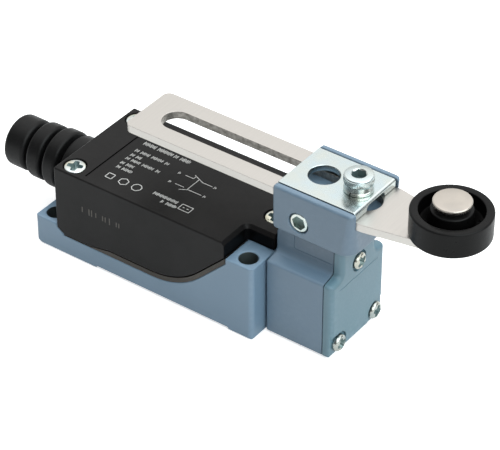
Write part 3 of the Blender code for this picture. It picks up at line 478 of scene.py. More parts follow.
PAINT = paint_material("blue_grey_paint", (0.136, 0.212, 0.290), (0.150, 0.230, 0.312))
CAP_PAINT = paint_material("cap_paint", (0.092, 0.170, 0.214), (0.102, 0.186, 0.229))
# the head paint carries painted shadow above 20.8 mm, under the lever block
HEAD_PAINT = paint_material("head_paint", (0.117, 0.180, 0.246), (0.129, 0.196, 0.264), 0.0208)
# a darker copy of the head paint, as painted shade on the lever block
SHADED_LEVER_PAINT = paint_material("shaded_lever_paint", (0.102, 0.156, 0.211), (0.113, 0.169, 0.227))
# painted shade for the inside of the mounting holes
HOLE_SHADE = grained_black("shaded_hole_wall", (0.042, 0.052, 0.052), 0.5, 2400, 0.00005)
SHADED_PLASTIC = grained_black("shaded_plastic", (0.0016, 0.0015, 0.0015), 0.4, 3000, 0.00004, 0.06)
PLASTIC = grained_black("black_plastic", (0.0066, 0.0062, 0.0062), 0.34, 3400, 0.00004, 0.15)
ROLLER_PLASTIC = grained_black("roller_plastic", (0.0045, 0.0045, 0.0045), 0.32, 2400, 0.00003, 0.13)
RUBBER = grained_black("black_rubber", (0.0040, 0.0040, 0.0041), 0.42, 2800, 0.00005)
SEAL = grained_black("seal_rubber", (0.052, 0.047, 0.042), 0.6, 2600, 0.00005)
ZINC = plated_material("zinc_plate", (0.60, 0.69, 0.71), (0.64, 0.69, 0.66), 0.22)
SCREW_ZINC = plated_material("screw_zinc", (0.46, 0.51, 0.50), (0.54, 0.54, 0.47), 0.2)
COVER_ZINC = plated_material("cover_zinc", (0.70, 0.80, 0.86), (0.80, 0.78, 0.62), 0.2)
# painted shade for the insides of screw recesses and sockets
PAINTED_SOCKET_SHADE = plated_material("socket_shade", (0.12, 0.19, 0.20), (0.22, 0.29, 0.28), 0.35, 0.6)
STEEL = plated_material("socket_steel", (0.58, 0.66, 0.64), (0.70, 0.72, 0.66), 0.22)
BRUSHED_ALONG, SHEARED_DOWN = (1.0, 0.05, 1.0), (0.35, 1.0, 0.45)
NICKEL = brushed_material("satin_nickel", (0.61, 0.585, 0.55), (0.592, 0.568, 0.535), 0.36, BRUSHED_ALONG)
SPUN_NICKEL = plated_material("pin_nickel", (0.57, 0.525, 0.47), (0.51, 0.475, 0.43), 0.34)
SHEARED = brushed_material("sheared_nickel", (0.50, 0.475, 0.44), (0.24, 0.225, 0.205), 0.45, SHEARED_DOWN)
BRASS = plated_material("brass", (0.72, 0.52, 0.22), (0.60, 0.42, 0.18), 0.3)
MOULDING = moulding_material()
INK = print_material("white_ink", (0.72, 0.72, 0.70), (0.42, 0.42, 0.41))
FAINT_INK = print_material("faint_mark", (0.060, 0.053, 0.044), (0.035, 0.031, 0.027))


def finish_cad_nodes():
    """The hidden pieces stay as CAD nodes and take a procedural material by their record slot."""
    by_slot = {
        "blue_grey_paint": PAINT,
        "black_plastic": PLASTIC,
        "black_rubber": RUBBER,
        "zinc_plate": ZINC,
        "satin_nickel": SPUN_NICKEL,
        "brass": BRASS,
        "switch_moulding": MOULDING,
    }
    for entry in frame["record"]["subparts"]:
        mesh = frame["nodes"][entry["node"]].data
        mesh.materials.clear()
        mesh.materials.append(by_slot[entry["material_slot"]])


# ---- housing, seal, cover


BASE_LOW, BASE_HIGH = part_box("base_housing")
COVER_LOW, COVER_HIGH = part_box("front_cover")
EAR_X0 = -4.0 * MM
EAR_INNER_Y = 6.55 * MM
EAR_FOOT_Z = 18.35 * MM
SEAM_X0 = COVER_LOW.x + 2.0 * MM
SEAM_RADIUS = 19.0 * MM
CAVITY_FLOOR = 2.0 * MM
CAVITY_TOP = 22.0 * MM


def base_seam(lift=0.0):
    """The housing's upper edge in side view, from the cable end round the curve to the foot of the ear."""
    flat = 5.3 * MM + lift
    bend_x = EAR_X0 - (EAR_FOOT_Z - 5.3 * MM) - 0.41 * lift
    return [(SEAM_X0, flat, 0.3 * MM), (bend_x, flat, SEAM_RADIUS), (EAR_X0, EAR_FOOT_Z + 1.41 * lift, 0)]


def cover_seam(drop, top):
    """The cover's lower edge, moved down by a distance, up to a height."""
    low_z, high_z = 5.5 * MM - 0.4 * drop, 6.75 * MM - drop
    rise = 24.1 * MM - 1.41 * drop
    return [
        (SEAM_X0 + 0.1 * MM, low_z, 0.2 * MM),
        (-43.5 * MM, low_z, 6 * MM),
        (-37.5 * MM, high_z, 6 * MM),
        (high_z - rise, high_z, SEAM_RADIUS),
        (top - rise, top, 0),
    ]


def open_line(corners):
    """Points along corners that aren't joined up."""
    below = -20 * MM
    ends = [(corners[-1][0], below, 0), (corners[0][0], below, 0)]
    return rounded([(*corners[0][:2], 0), *corners[1:], *ends], 0, 8)[:-2]


def cavity(start, end):
    """The room inside housing and cover, as a cutter."""
    x0, x1 = -50.6 * MM, -6.6 * MM
    step_x, wide, neck = -45.2 * MM, 13.0 * MM, 7.7 * MM
    half = [(x0, -neck, 1 * MM), (step_x, -neck, 1 * MM), (step_x, -wide, 1 * MM), (x1, -wide, 1 * MM)]
    corners = half + [(x, -y, r) for x, y, r in reversed(half)]
    return prism(rounded(corners, 0, 3), start, end)


def corner_cutter(x, y, side_x, side_y, radius, start, end):
    """A cutter that rounds an upright edge at (x, y)."""
    centre = (x - side_x * radius, y - side_y * radius)
    outline = [(centre[0] + side_x * a, centre[1] + side_y * b) for a, b in arc(0, 0, radius, 0, 90, 8)]
    past_x, past_y = x + side_x * MM, y + side_y * MM
    outline += [(centre[0], past_y), (past_x, past_y), (past_x, centre[1])]
    return prism(outline, start, end)


def build_housing():
    tab_z, relief = 7.85 * MM, 0.45 * MM
    step_x = COVER_LOW.x - 0.2 * MM
    seam = base_seam()
    corners = [
        (BASE_LOW.x, 0, 1.8 * MM),
        (-41.6 * MM, 0, 0),
        (-41.3 * MM, relief, 0.2 * MM),
        (-3.5 * MM, relief, 0.2 * MM),
        (-3.2 * MM, 0, 0),
        (BASE_HIGH.x, 0, 0.4 * MM),
        (BASE_HIGH.x, BASE_HIGH.z, 0.45 * MM),
        (EAR_X0, BASE_HIGH.z, 0.4 * MM),
    ]
    corners += list(reversed(seam))
    corners += [(step_x + 0.6 * MM, seam[0][1] + 1.3 * MM, 0.2 * MM), (step_x, tab_z, 0)]
    corners += [(BASE_LOW.x, tab_z, 0.5 * MM)]
    solid = slab(corners, BASE_LOW.y, BASE_HIGH.y, 0.42 * MM, 0.42 * MM, "XZ")
    cutters = [cavity(CAVITY_FLOOR, 30 * MM)]
    for side in (-1, 1):
        ear_place = (0, side * HOLE_Y, 0)
        tab_place = (-HOLE_PITCH_X, side * HOLE_Y, 0)
        cutters.append(hole(HOLE_RADIUS, -MM, BASE_HIGH.z, 0.45 * MM, ALONG_Z, ear_place))
        cutters.append(hole(HOLE_RADIUS, -MM, tab_z, 0.3 * MM, ALONG_Z, tab_place))
        edge_y = side * BASE_HIGH.y
        cutters.append(corner_cutter(BASE_HIGH.x, edge_y, 1, side, 1.3 * MM, -MM, 30 * MM))
        cutters.append(corner_cutter(BASE_LOW.x, edge_y, -1, side, 1.0 * MM, -MM, 30 * MM))
        cutters.append(rod(1.65 * MM, -5 * MM, 5 * MM, ALONG_X, (0, side * CAP_SCREW.y, CAP_SCREW.z)))
    cutters.append(rod(7.6 * MM, BASE_LOW.x - MM, BASE_LOW.x + 6.9 * MM, ALONG_X, (0, 0, GLAND.z), ROUND))
    cutters.append(rod(4.5 * MM, -4 * MM, 5 * MM, ALONG_X, (0, 0, ROD_Z)))
    cutters.append(rod(2.3 * MM, -8 * MM, 0, ALONG_X, (0, 0, ROD_Z)))
    solid = carve(solid, *cutters)
    casting = piece("housing_casting", solid, PAINT, "housing", ["base_housing"])

    def shaded_hole_wall(spot, normal):
        nearest_x = 0 if spot.x > -HOLE_PITCH_X / 2 else -HOLE_PITCH_X
        reach = math.hypot(spot.x - nearest_x, abs(spot.y) - HOLE_Y)
        return reach < HOLE_RADIUS * 1.02 and abs(normal.z) < 0.3

    # painted shade: the walls of the mounting holes take a dark colour
    repaint(casting, HOLE_SHADE, shaded_hole_wall)


def build_seal():
    """The rubber lip that shows as a dark line, thicker round the curve."""
    top = BASE_HIGH.z - 0.15 * MM
    lower = open_line(base_seam(0.03 * MM))
    upper = open_line(cover_seam(0.2 * MM, top))
    half = BASE_HIGH.y - 0.04 * MM
    solid = prism(lower + list(reversed(upper)), -half, half, "XZ")
    cutters = [cavity(0, 30 * MM)]
    for side in (-1, 1):
        cutters.append(rod(1.8 * MM, 0, 30 * MM, ALONG_Z, (-49.4 * MM, side * HOLE_Y, 0)))
    piece("cover_seal", carve(solid, *cutters), SEAL, "housing", ["cover_gasket"])


def notch_cutter(side):
    """Clears an ear: upright walls with a rounded inner corner, chamfered at the top."""
    x0, y0 = EAR_X0 - 0.25 * MM, EAR_INNER_Y - 0.2 * MM
    chamfer, far = 0.8 * MM, 20 * MM
    sections = []
    for z, grow in ((0, 0), (COVER_HIGH.z - chamfer, 0), (COVER_HIGH.z + chamfer, 2 * chamfer)):
        corners = [(x0 - grow, y0 - grow, 1.2 * MM + grow), (far, y0 - grow, 0)]
        corners += [(far, far, 0), (x0 - grow, far, 0)]
        sections.append(([(x, side * y) for x, y in rounded(corners, 0, 6)], z))
    return loft(sections)


def build_cover():
    x0, x1, top = COVER_LOW.x, COVER_HIGH.x, COVER_HIGH.z
    edge = 0.38 * MM
    under = BASE_HIGH.z + 0.3 * MM
    corners = [(x0, 6.9 * MM, 0.2 * MM), *cover_seam(0, under)]
    corners += [(x1, under, 0.2 * MM), (x1, top, edge), (x0, top, edge)]
    solid = slab(corners, COVER_LOW.y, COVER_HIGH.y, edge, edge, "XZ")
    cutters = [cavity(-5 * MM, CAVITY_TOP), notch_cutter(-1), notch_cutter(1)]
    for name in ("cover_screw_front", "cover_screw_rear", "cover_screw_head"):
        place = middle(name)
        centre = (place.x, place.y, 0)
        cutters.append(rod(1.75 * MM, 0, 30 * MM, ALONG_Z, centre))
        cutters.append(hole(2.85 * MM, top - 1.6 * MM, top, 0.15 * MM, ALONG_Z, centre, ROUND))
    outside, seat, inside = -70 * MM, x0 + 0.4 * MM, x0 + 5.4 * MM
    flange, neck = 7.6 * MM, 6.1 * MM
    gland = [(0, outside), (flange, outside), (flange, seat), (neck, seat), (neck, inside), (0, inside)]
    cutters.append(turned(gland, ALONG_X, (0, 0, GLAND.z)))
    groove_x, groove_y = x0 + 8.0 * MM, 13.3 * MM
    cutters.append(box((groove_x, -groove_y, top - 0.4 * MM), (groove_x + 0.42 * MM, groove_y, top + MM)))
    solid = carve(solid, *cutters)
    shell = piece("cover_shell", solid, PLASTIC, "housing", ["front_cover"])

    def notch_wall(spot, normal):
        across = EAR_INNER_Y - 1.6 * MM < abs(spot.y) < COVER_HIGH.y - 0.5 * MM
        below = spot.z < top - 0.9 * MM and abs(normal.z) < 0.5
        return across and below and spot.x > EAR_X0 - 1.8 * MM

    repaint(shell, SHADED_PLASTIC, notch_wall)


# ---- marks on the cover


def add_bar(bm, lower, upper):
    """Add a closed four-sided bar between two rings of points."""
    lower, upper = [[bm.verts.new(point) for point in ring] for ring in (lower, upper)]
    bm.faces.new(reversed(lower))
    bm.faces.new(upper)
    for index in range(4):
        after = (index + 1) % 4
        bm.faces.new((lower[index], lower[after], upper[after], upper[index]))


def stroke(bm, start, end, width):
    """Add one printed line, from start to end in millimetres, as a thin bar on the cover's top."""
    start, end = Vector(start) * MM, Vector(end) * MM
    along = (end - start).normalized()
    side = Vector((-along.y, along.x)) * width * MM / 2
    corners = [start - side, end - side, end + side, start + side]
    add_bar(bm, *[[(p.x, p.y, COVER_HIGH.z + rise * MM) for p in corners] for rise in (0.002, 0.02)])


def contact_symbol():
    """The generic drawing of one closed and one open contact, as (start, end) lines in millimetres."""
    return [
        ((-26.5, 0.4), (-24.2, 0.4)),
        ((-24.2, 0.4), (-24.2, 1.5)),
        ((-24.7, 1.7), (-21.6, 0.4)),
        ((-21.6, 0.4), (-18.8, 0.4)),
        ((-26.5, -3.5), (-24.0, -3.5)),
        ((-24.5, -4.8), (-22.6, -3.7)),
        ((-22.6, -3.7), (-18.9, -3.7)),
        ((-22.9, 0.9), (-22.9, -4.0)),
    ]


def dash_rows():
    """Rows of short dashes where a label would carry its data: (x, y, word lengths), in millimetres."""
    return [
        (-41.9, 4.9, (3.4, 4.0, 1.0, 2.6), 1.3),
        (-41.8, 1.5, (0.9, 2.4, 3.2, 0.8), 1.05),
        (-41.6, -0.5, (0.9, 1.2), 1.05),
        (-41.7, -2.2, (0.9, 2.4, 3.2, 0.8), 1.05),
        (-41.6, -4.2, (0.9, 1.9), 1.05),
        (-41.4, -6.0, (0.9, 2.6), 1.05),
        (-28.2, -9.1, (6.6,), 1.05),
        (-24.9, -10.7, (0.7, 2.6), 1.05),
        (-28.4, 0.3, (0.7,), 0.8),
        (-28.2, -3.6, (0.7,), 0.8),
        (-18.3, 0.4, (0.7,), 0.8),
        (-18.3, -3.7, (0.7,), 0.8),
    ]


def build_print():
    line, pitch, lean, gap = 0.16, 0.36, 0.08, 0.75
    bm = bmesh.new()
    for start, end in contact_symbol():
        stroke(bm, start, end, line)
    for x, y, words, height in dash_rows():
        for length in words:
            for tick in range(int(length / pitch) + 1):
                left = x + tick * pitch
                reach = height / 2 * (1.0, 0.62, 0.85)[tick % 3]
                stroke(bm, (left, y - reach), (left + lean, y + reach), 0.17)
            x += length + gap
    for count, x in ((4, -40.3), (6, -36.4), (8, -32.6)):
        turns = [2 * math.pi * (step + 0.5) / count for step in range(count + 1)]
        points = [(x + 1.25 * math.cos(turn), -9.9 + 1.25 * math.sin(turn)) for turn in turns]
        for start, end in zip(points, points[1:]):
            stroke(bm, start, end, 0.2)
    (x0, x1), (y0, y1) = (-20.3, -17.3), (-10.7, -8.7)
    edges = [((x0, y0), (x1, y0)), ((x0, y1), (x1, y1)), ((x0, y0), (x0, y1)), ((x1, y0), (x1, y1))]
    edges += [((-19.6, -9.7), (-19.1, -9.7)), ((-18.5, -9.7), (-18.0, -9.7))]
    for start, end in edges:
        stroke(bm, start, end, line)
    piece("cover_print", bm, INK, "housing")


def build_side_mark():
    """Short raised bars on the cover's side, in place of a moulded code."""
    wide, lean, middle_z = 0.32 * MM, 0.04 * MM, 15.6 * MM
    depths = (COVER_LOW.y - 0.03 * MM, COVER_LOW.y + 0.2 * MM)
    bm = bmesh.new()
    for index in range(6):
        tall = (1.5, 1.9, 1.3)[index % 3] * MM / 2
        for step in range(2 if index % 2 else 1):
            left = COVER_LOW.x + (8.0 + 2.0 * index) * MM + step * 0.75 * MM
            right = left + wide
            low, high = middle_z - tall, middle_z + tall
            corners = [(left, low), (right, low), (right + lean, high), (left + lean, high)]
            add_bar(bm, *[[(x, y, z) for x, z in corners] for y in depths])
    bmesh.ops.recalc_face_normals(bm, faces=bm.faces)
    piece("cover_bars", bm, FAINT_INK, "housing")


# ---- screws


def cross_cutter(size, depth, top):
    sections = []
    for z, share in ((top + 0.2 * MM, 1.08), (top - depth * 0.8, 0.62), (top - depth, 0.3)):
        reach, half = size * share, size * 0.29 * share
        outline = []
        for quarter in range(4):
            turn = Matrix.Rotation(math.pi / 2 * quarter, 2)
            heel, toe = half * 1.35, reach * 0.94
            for point in ((heel, heel), (half, toe), (0, reach), (-half, toe)):
                outline.append(tuple(turn @ Vector(point)))
        sections.append((outline, z))
    return loft(sections)


def cross_screw(radius, height, crown, shank, length, axis, centre):
    """A cross-recessed pan screw whose seat is at the centre point, with its head along the axis."""
    edge = 0.12 * MM
    profile = [(0, -length), (shank * 0.75, -length), (shank, -length + 0.3 * MM), (shank, 0)]
    profile += [(radius - edge, 0), (radius, edge), (radius, height - crown)]
    for angle in (18, 36, 54, 72):
        turn = math.radians(angle)
        reach = radius - crown * 1.15 * (1 - math.cos(turn))
        profile.append((reach, height - crown + crown * math.sin(turn)))
    profile += [(radius * 0.55, height), (0, height)]
    screw = carve(turned(profile, steps=SMALL_ROUND), cross_cutter(radius * 0.74, height * 0.85, height))
    # Painted shade: steep faces inside the cross recess take the dark second material.
    for face in screw.faces:
        spot = face.calc_center_median()
        reach = math.hypot(spot.x, spot.y)
        steep = abs(face.normal.z) < 0.75 or spot.z < height * 0.6
        face.material_index = 1 if steep and reach < radius * 0.8 and spot.z > 0.05 * MM else 0
    return placed(screw, axis, centre)


def build_screws():
    turn_by = {
        "cover_screw_front": 20, "cover_screw_rear": 52, "cover_screw_head": 5,
        "cap_screw_top": 30, "cap_screw_front": 12, "cap_screw_rear": 65,
    }
    for name, degrees in turn_by.items():
        turn = Matrix.Rotation(math.radians(degrees), 4, "Z")
        lowest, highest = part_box(name)
        spot = (lowest + highest) / 2
        if name.startswith("cover"):
            head, crown, axis, metal = 1.4 * MM, 0.45 * MM, ALONG_Z, COVER_ZINC
            radius = (highest.x - lowest.x) / 2 + 0.1 * MM
            seat = Vector((spot.x, spot.y, highest.z - head))
            length = seat.z - lowest.z
        else:
            head, crown, axis, metal = 1.3 * MM, 0.8 * MM, ALONG_X, SCREW_ZINC
            radius = (highest.y - lowest.y) / 2 - 0.25 * MM
            seat = Vector((highest.x - 1.5 * MM, spot.y, spot.z))
            length = seat.x - lowest.x
        screw = cross_screw(radius, head, crown, 1.4 * MM, length, axis @ turn, seat)
        fine = piece(f"{name}_fine", screw, metal, "housing", [name])
        fine.data.materials.append(PAINTED_SOCKET_SHADE)


# ---- cable boot


def build_boot():
    """Swelling ribs with rounded shoulders and deep grooves, turned in millimetres."""
    lowest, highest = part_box("cable_boot")
    length, collar, neck = (highest.x - lowest.x) / MM, 23.6, 11.8
    bore, wide_bore, flange = 3.3, 4.6, 7.25
    ribs = ((0.0, 6.1, 6.45, 1.1), (7.2, 11.3, 6.95, 0.9), (12.4, 16.4, 7.35, 0.9))
    profile = [(bore, 0.25), (3.55, 0)]
    for start, end, radius, edge in ribs:
        floor, slope = radius - 2.2, radius - 1.9
        profile += [(radius - edge * b, start + edge * a) for a, b in quarter(6)]
        profile += [(radius - edge * b, end - edge * a) for a, b in reversed(quarter(6))]
        profile += [(slope, end + 0.08), (floor, end + 0.35), (floor, end + 0.75), (slope, end + 1.02)]
    profile += [(6.2, 17.5), (6.9, 17.7), (flange, 18.3), (flange, collar), (5.8, collar)]
    profile += [(5.8, length), (wide_bore, length), (wide_bore, neck), (bore, neck)]
    profile = [(radius * MM, height * MM) for radius, height in profile]
    boot = turned(profile, ALONG_X, (lowest.x, 0, GLAND.z))
    piece("boot_ribbed", boot, RUBBER, "housing", ["cable_boot"], 50)


# ---- head


HEAD_LOW, HEAD_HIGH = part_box("head_block")
CAP_LOW, CAP_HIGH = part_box("head_cap")
RIDGE_Z = 20.25 * MM
TURRET_HALF = 6.5 * MM
SHOULDER_Z = 21.0 * MM


def head_section(grow):
    """Section across head or cap, grown outwards; its fillets shrink or swell with it."""
    half, turret = HEAD_HIGH.y + grow, TURRET_HALF + grow
    edge = max(0.3 * MM + grow, 0.05 * MM)
    right = [
        (half, HEAD_LOW.z - min(grow, 0), edge),
        (half, RIDGE_Z + grow * 0.7, max(0.75 * MM + grow, 0.05 * MM)),
        (turret, SHOULDER_Z + grow, 1.3 * MM - grow),
        (turret, HEAD_HIGH.z + min(grow, 0), edge),
    ]
    left = [(-y, z, radius) for y, z, radius in reversed(right)]
    return rounded(right + left, 0, 7)


def head_solid(x0, x1, edge0, edge1, grow=0.0):
    sections = [(head_section(grow - d), x) for d, x in edge_profile(x0, x1, edge0, edge1, 6)]
    return loft(sections, "YZ")


def build_head():
    x0, x1 = HEAD_LOW.x, HEAD_HIGH.x
    past_x, past_z = 30 * MM, 32 * MM
    cutters = [
        box((6.2 * MM, -7.8 * MM, 6.0 * MM), (past_x, 7.8 * MM, 17.4 * MM)),
        rod(5.0 * MM, 16 * MM, past_z, ALONG_Z, (SHAFT.x, 0, 0), ROUND),
        rod(2.7 * MM, 2 * MM, 7 * MM, ALONG_Z, (SHAFT.x, 0, 0)),
        rod(4.3 * MM, -2 * MM, 8 * MM, ALONG_X, (0, 0, ROD_Z)),
    ]
    seat = [(5.0 * MM, 0), (6.8 * MM, 0), (6.8 * MM, 4.6 * MM), (5.0 * MM, 4.6 * MM)]
    cutters.append(turned(seat, ALONG_X, (0, 0, ROD_Z), SMALL_ROUND))
    waist_x, waist_z = 8.8 * MM, 23.4 * MM
    corners = [(waist_x, waist_z, 0.4 * MM), (past_x, waist_z, 0), (past_x, past_z, 0), (waist_x, past_z, 0)]
    waist = rounded(corners)
    for side in (-1, 1):
        cutters.append(rod(1.65 * MM, -5 * MM, past_x, ALONG_X, (0, side * CAP_SCREW.y, CAP_SCREW.z)))
        near, far = sorted((side * (TURRET_HALF - 0.10 * MM), side * 9 * MM))
        cutters.append(prism(waist, near, far, "XZ"))
    cutters.append(rod(1.5 * MM, 17.2 * MM, past_x, ALONG_X, (0, 0, middle("cap_screw_top").z)))
    radius = 4.6 * MM
    centre = (x0 + radius, HEAD_HIGH.z - radius)
    bow = arc(*centre, radius, 90, 180, 12)
    bow += [(x0 - MM, centre[1]), (x0 - MM, past_z), (centre[0], past_z)]
    cutters.append(prism(bow, -12 * MM, 12 * MM, "XZ"))
    solid = carve(head_solid(x0, x1 - 0.05 * MM, 0.8 * MM, 0.12 * MM), *cutters)
    piece("head_casting", solid, HEAD_PAINT, "housing", ["head_block"])


def build_joint_line():
    """The thin dark sheet that shows between head and cap."""
    section, clear = head_section(-0.22 * MM), 0.04 * MM
    sheet = prism(section, HEAD_HIGH.x - clear, CAP_LOW.x + clear, "YZ")
    opening = box((0, -7.9 * MM, 5.9 * MM), (30 * MM, 7.9 * MM, 17.5 * MM))
    piece("cap_joint_sheet", carve(sheet, opening), RUBBER, "housing")


def pocket_cutter(side, seat_x):
    """The corner pocket round a lower cap screw, open to the side and the bottom."""
    radius = 2.75 * MM
    top, inner = CAP_SCREW.z + radius, CAP_SCREW.y - radius
    outline = [(inner, -MM), (14 * MM, -MM), (14 * MM, top + 0.35 * MM), (CAP_SCREW.y + 0.5 * MM, top)]
    outline += arc(CAP_SCREW.y, CAP_SCREW.z, radius, 90, 180, 10)
    return prism([(side * y, z) for y, z in outline], seat_x, 30 * MM, "YZ")


def build_cap():
    x0, x1 = CAP_LOW.x, CAP_HIGH.x
    proud = CAP_HIGH.y - HEAD_HIGH.y
    seat_x, past_x = 21.15 * MM, 30 * MM
    cutters = []
    for side in (-1, 1):
        cutters.append(rod(1.7 * MM, 0, past_x, ALONG_X, (0, side * CAP_SCREW.y, CAP_SCREW.z)))
        cutters.append(pocket_cutter(side, seat_x))
    step, wide = seat_x - 0.03 * MM, 2.65 * MM
    bore = [(0, 0), (1.7 * MM, 0), (1.7 * MM, step), (wide, step), (wide, past_x), (0, past_x)]
    cutters.append(turned(bore, ALONG_X, (0, 0, middle("cap_screw_top").z)))
    groove_z, depth, out_x = 17.9 * MM, 0.3 * MM, x1 + MM
    groove = [(x1 - depth, groove_z + 0.15 * MM), (out_x, groove_z - 0.25 * MM)]
    groove += [(out_x, groove_z + 0.55 * MM)]
    cutters.append(prism(groove, -7.4 * MM, 7.4 * MM, "XZ"))
    half, low_z, high_z = 9.4 * MM, 4.95 * MM, 18.7 * MM
    corners = [(-half, low_z, MM), (half, low_z, MM), (half, high_z, MM), (-half, high_z, MM)]
    seat = prism(rounded(corners), 0, x0 + 0.95 * MM, "YZ")
    cutters.append(carve(seat, box((0, -7.8 * MM, 6.5 * MM), (past_x, 7.8 * MM, 17.2 * MM))))
    solid = carve(head_solid(x0 + 0.05 * MM, x1, 0.12 * MM, 1.5 * MM, proud), *cutters)
    piece("cap_casting", solid, CAP_PAINT, "housing", ["head_cap"])


# ---- lever


BLOCK_LOW, BLOCK_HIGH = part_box("clamp_block")
ARM_LOW, ARM_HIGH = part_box("lever_arm")
PLATE_LOW, PLATE_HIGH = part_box("clamp_plate")
CHANNEL_HALF = 8.15 * MM


def build_block():
    x0, x1, half = BLOCK_LOW.x, BLOCK_HIGH.x, BLOCK_HIGH.y
    sections = []
    for inward, z in edge_profile(BLOCK_LOW.z, BLOCK_HIGH.z, 0.5 * MM, 0.8 * MM):
        front = 1.3 * MM + 2.2 * MM * (BLOCK_HIGH.z - z) / (BLOCK_HIGH.z - BLOCK_LOW.z)
        corners = [(x0, -half, 0.7 * MM), (x1, -half, front), (x1, half, front), (x0, half, 0.7 * MM)]
        sections.append((rounded(corners, inward, 8), z))
    solid = loft(sections)
    floor, rim = ARM_LOW.z - 0.1 * MM, 0.15 * MM
    channel = [(-CHANNEL_HALF, floor), (CHANNEL_HALF, floor), (CHANNEL_HALF, BLOCK_HIGH.z - rim)]
    channel += [(CHANNEL_HALF + 2 * rim, BLOCK_HIGH.z + rim), (-CHANNEL_HALF - 2 * rim, BLOCK_HIGH.z + rim)]
    channel += [(-CHANNEL_HALF, BLOCK_HIGH.z - rim)]
    radius = 1.8 * MM
    heel = arc(x0 + radius, BLOCK_LOW.z + radius, radius, 180, 270, 8)
    heel += [(x0 + radius, BLOCK_LOW.z - MM), (x0 - MM, BLOCK_LOW.z - MM), (x0 - MM, BLOCK_LOW.z + radius)]
    screw = middle("set_screw")
    cutters = [
        prism(channel, x0 - MM, x1 + MM, "YZ"),
        prism(heel, -half - MM, half + MM, "XZ"),
        rod(3.55 * MM, 20 * MM, 35.9 * MM, ALONG_Z, (SHAFT.x, 0, 0)),
        hole(2.62 * MM, 0, half, 0.12 * MM, ALONG_Y.inverted(), (screw.x, 0, screw.z)),
        rod(2.1 * MM, 30.5 * MM, 45 * MM, ALONG_Z, (BOLT.x, 0, 0)),
    ]
    # the block takes the darker paint copy as painted shade
    piece("lever_block", carve(solid, *cutters), SHADED_LEVER_PAINT, "lever", ["clamp_block"])


def build_set_screw():
    lowest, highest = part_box("set_screw")
    length, radius = highest.y - lowest.y, (highest.x - lowest.x) / 2
    spot = (lowest + highest) / 2
    profile = [(0, 0), (radius - 0.75 * MM, 0), (radius - 0.35 * MM, 0.08 * MM), (radius, 0.5 * MM)]
    profile += [(radius, length - 0.8 * MM), (1.6 * MM, length), (0, length)]
    blank = turned(profile, steps=SMALL_ROUND)
    socket = rod(3.1 * MM / math.sqrt(3), -MM, 1.3 * MM, steps=6)
    way = ALONG_Y @ Matrix.Rotation(math.radians(12), 4, "Z")
    screw = placed(carve(blank, socket), way, (spot.x, lowest.y, spot.z))
    obj = piece("set_screw_fine", screw, STEEL, "lever", ["set_screw"])

    def socket_wall(place, normal):
        reach = math.hypot(place.x - spot.x, place.z - spot.z)
        return reach < 1.7 * MM and lowest.y + 0.3 * MM < place.y < lowest.y + 3 * MM

    # painted shade inside the hex socket
    repaint(obj, PAINTED_SOCKET_SHADE, socket_wall)


def build_plate():
    """Sheet with one end bent down to two feet."""
    x0, x1, half = PLATE_LOW.x, PLATE_HIGH.x, PLATE_HIGH.y
    top, foot = PLATE_HIGH.z, PLATE_LOW.z
    under = 39.55 * MM
    thick = top - under
    corners = [(x0, under, 0.12 * MM), (x1 - thick, under, 0.3 * MM), (x1 - thick, foot, 0.1 * MM)]
    corners += [(x1, foot, 0.15 * MM), (x1, top, 0.7 * MM), (x0, top, 0.2 * MM)]
    solid = slab(corners, -half, half, 0.14 * MM, 0.14 * MM, "XZ")
    arch_half, arch_top = 3.4 * MM, 40.35 * MM
    arch = [(-arch_half - 0.3 * MM, foot - MM, 0), (arch_half + 0.3 * MM, foot - MM, 0)]
    arch += [(arch_half, arch_top, 1.0 * MM), (-arch_half, arch_top, 1.0 * MM)]
    cutters = [
        prism(rounded(arch, 0, 6), x1 - thick - 0.35 * MM, x1 + MM, "YZ"),
        hole(3.6 * MM, foot - MM, top, 0.18 * MM, ALONG_Z, (SHAFT.x, 0, 0), ROUND),
        rod(2.25 * MM, foot - MM, top + MM, ALONG_Z, (BOLT.x, 0, 0)),
    ]
    piece("clamp_sheet", carve(solid, *cutters), ZINC, "lever", ["clamp_plate"])


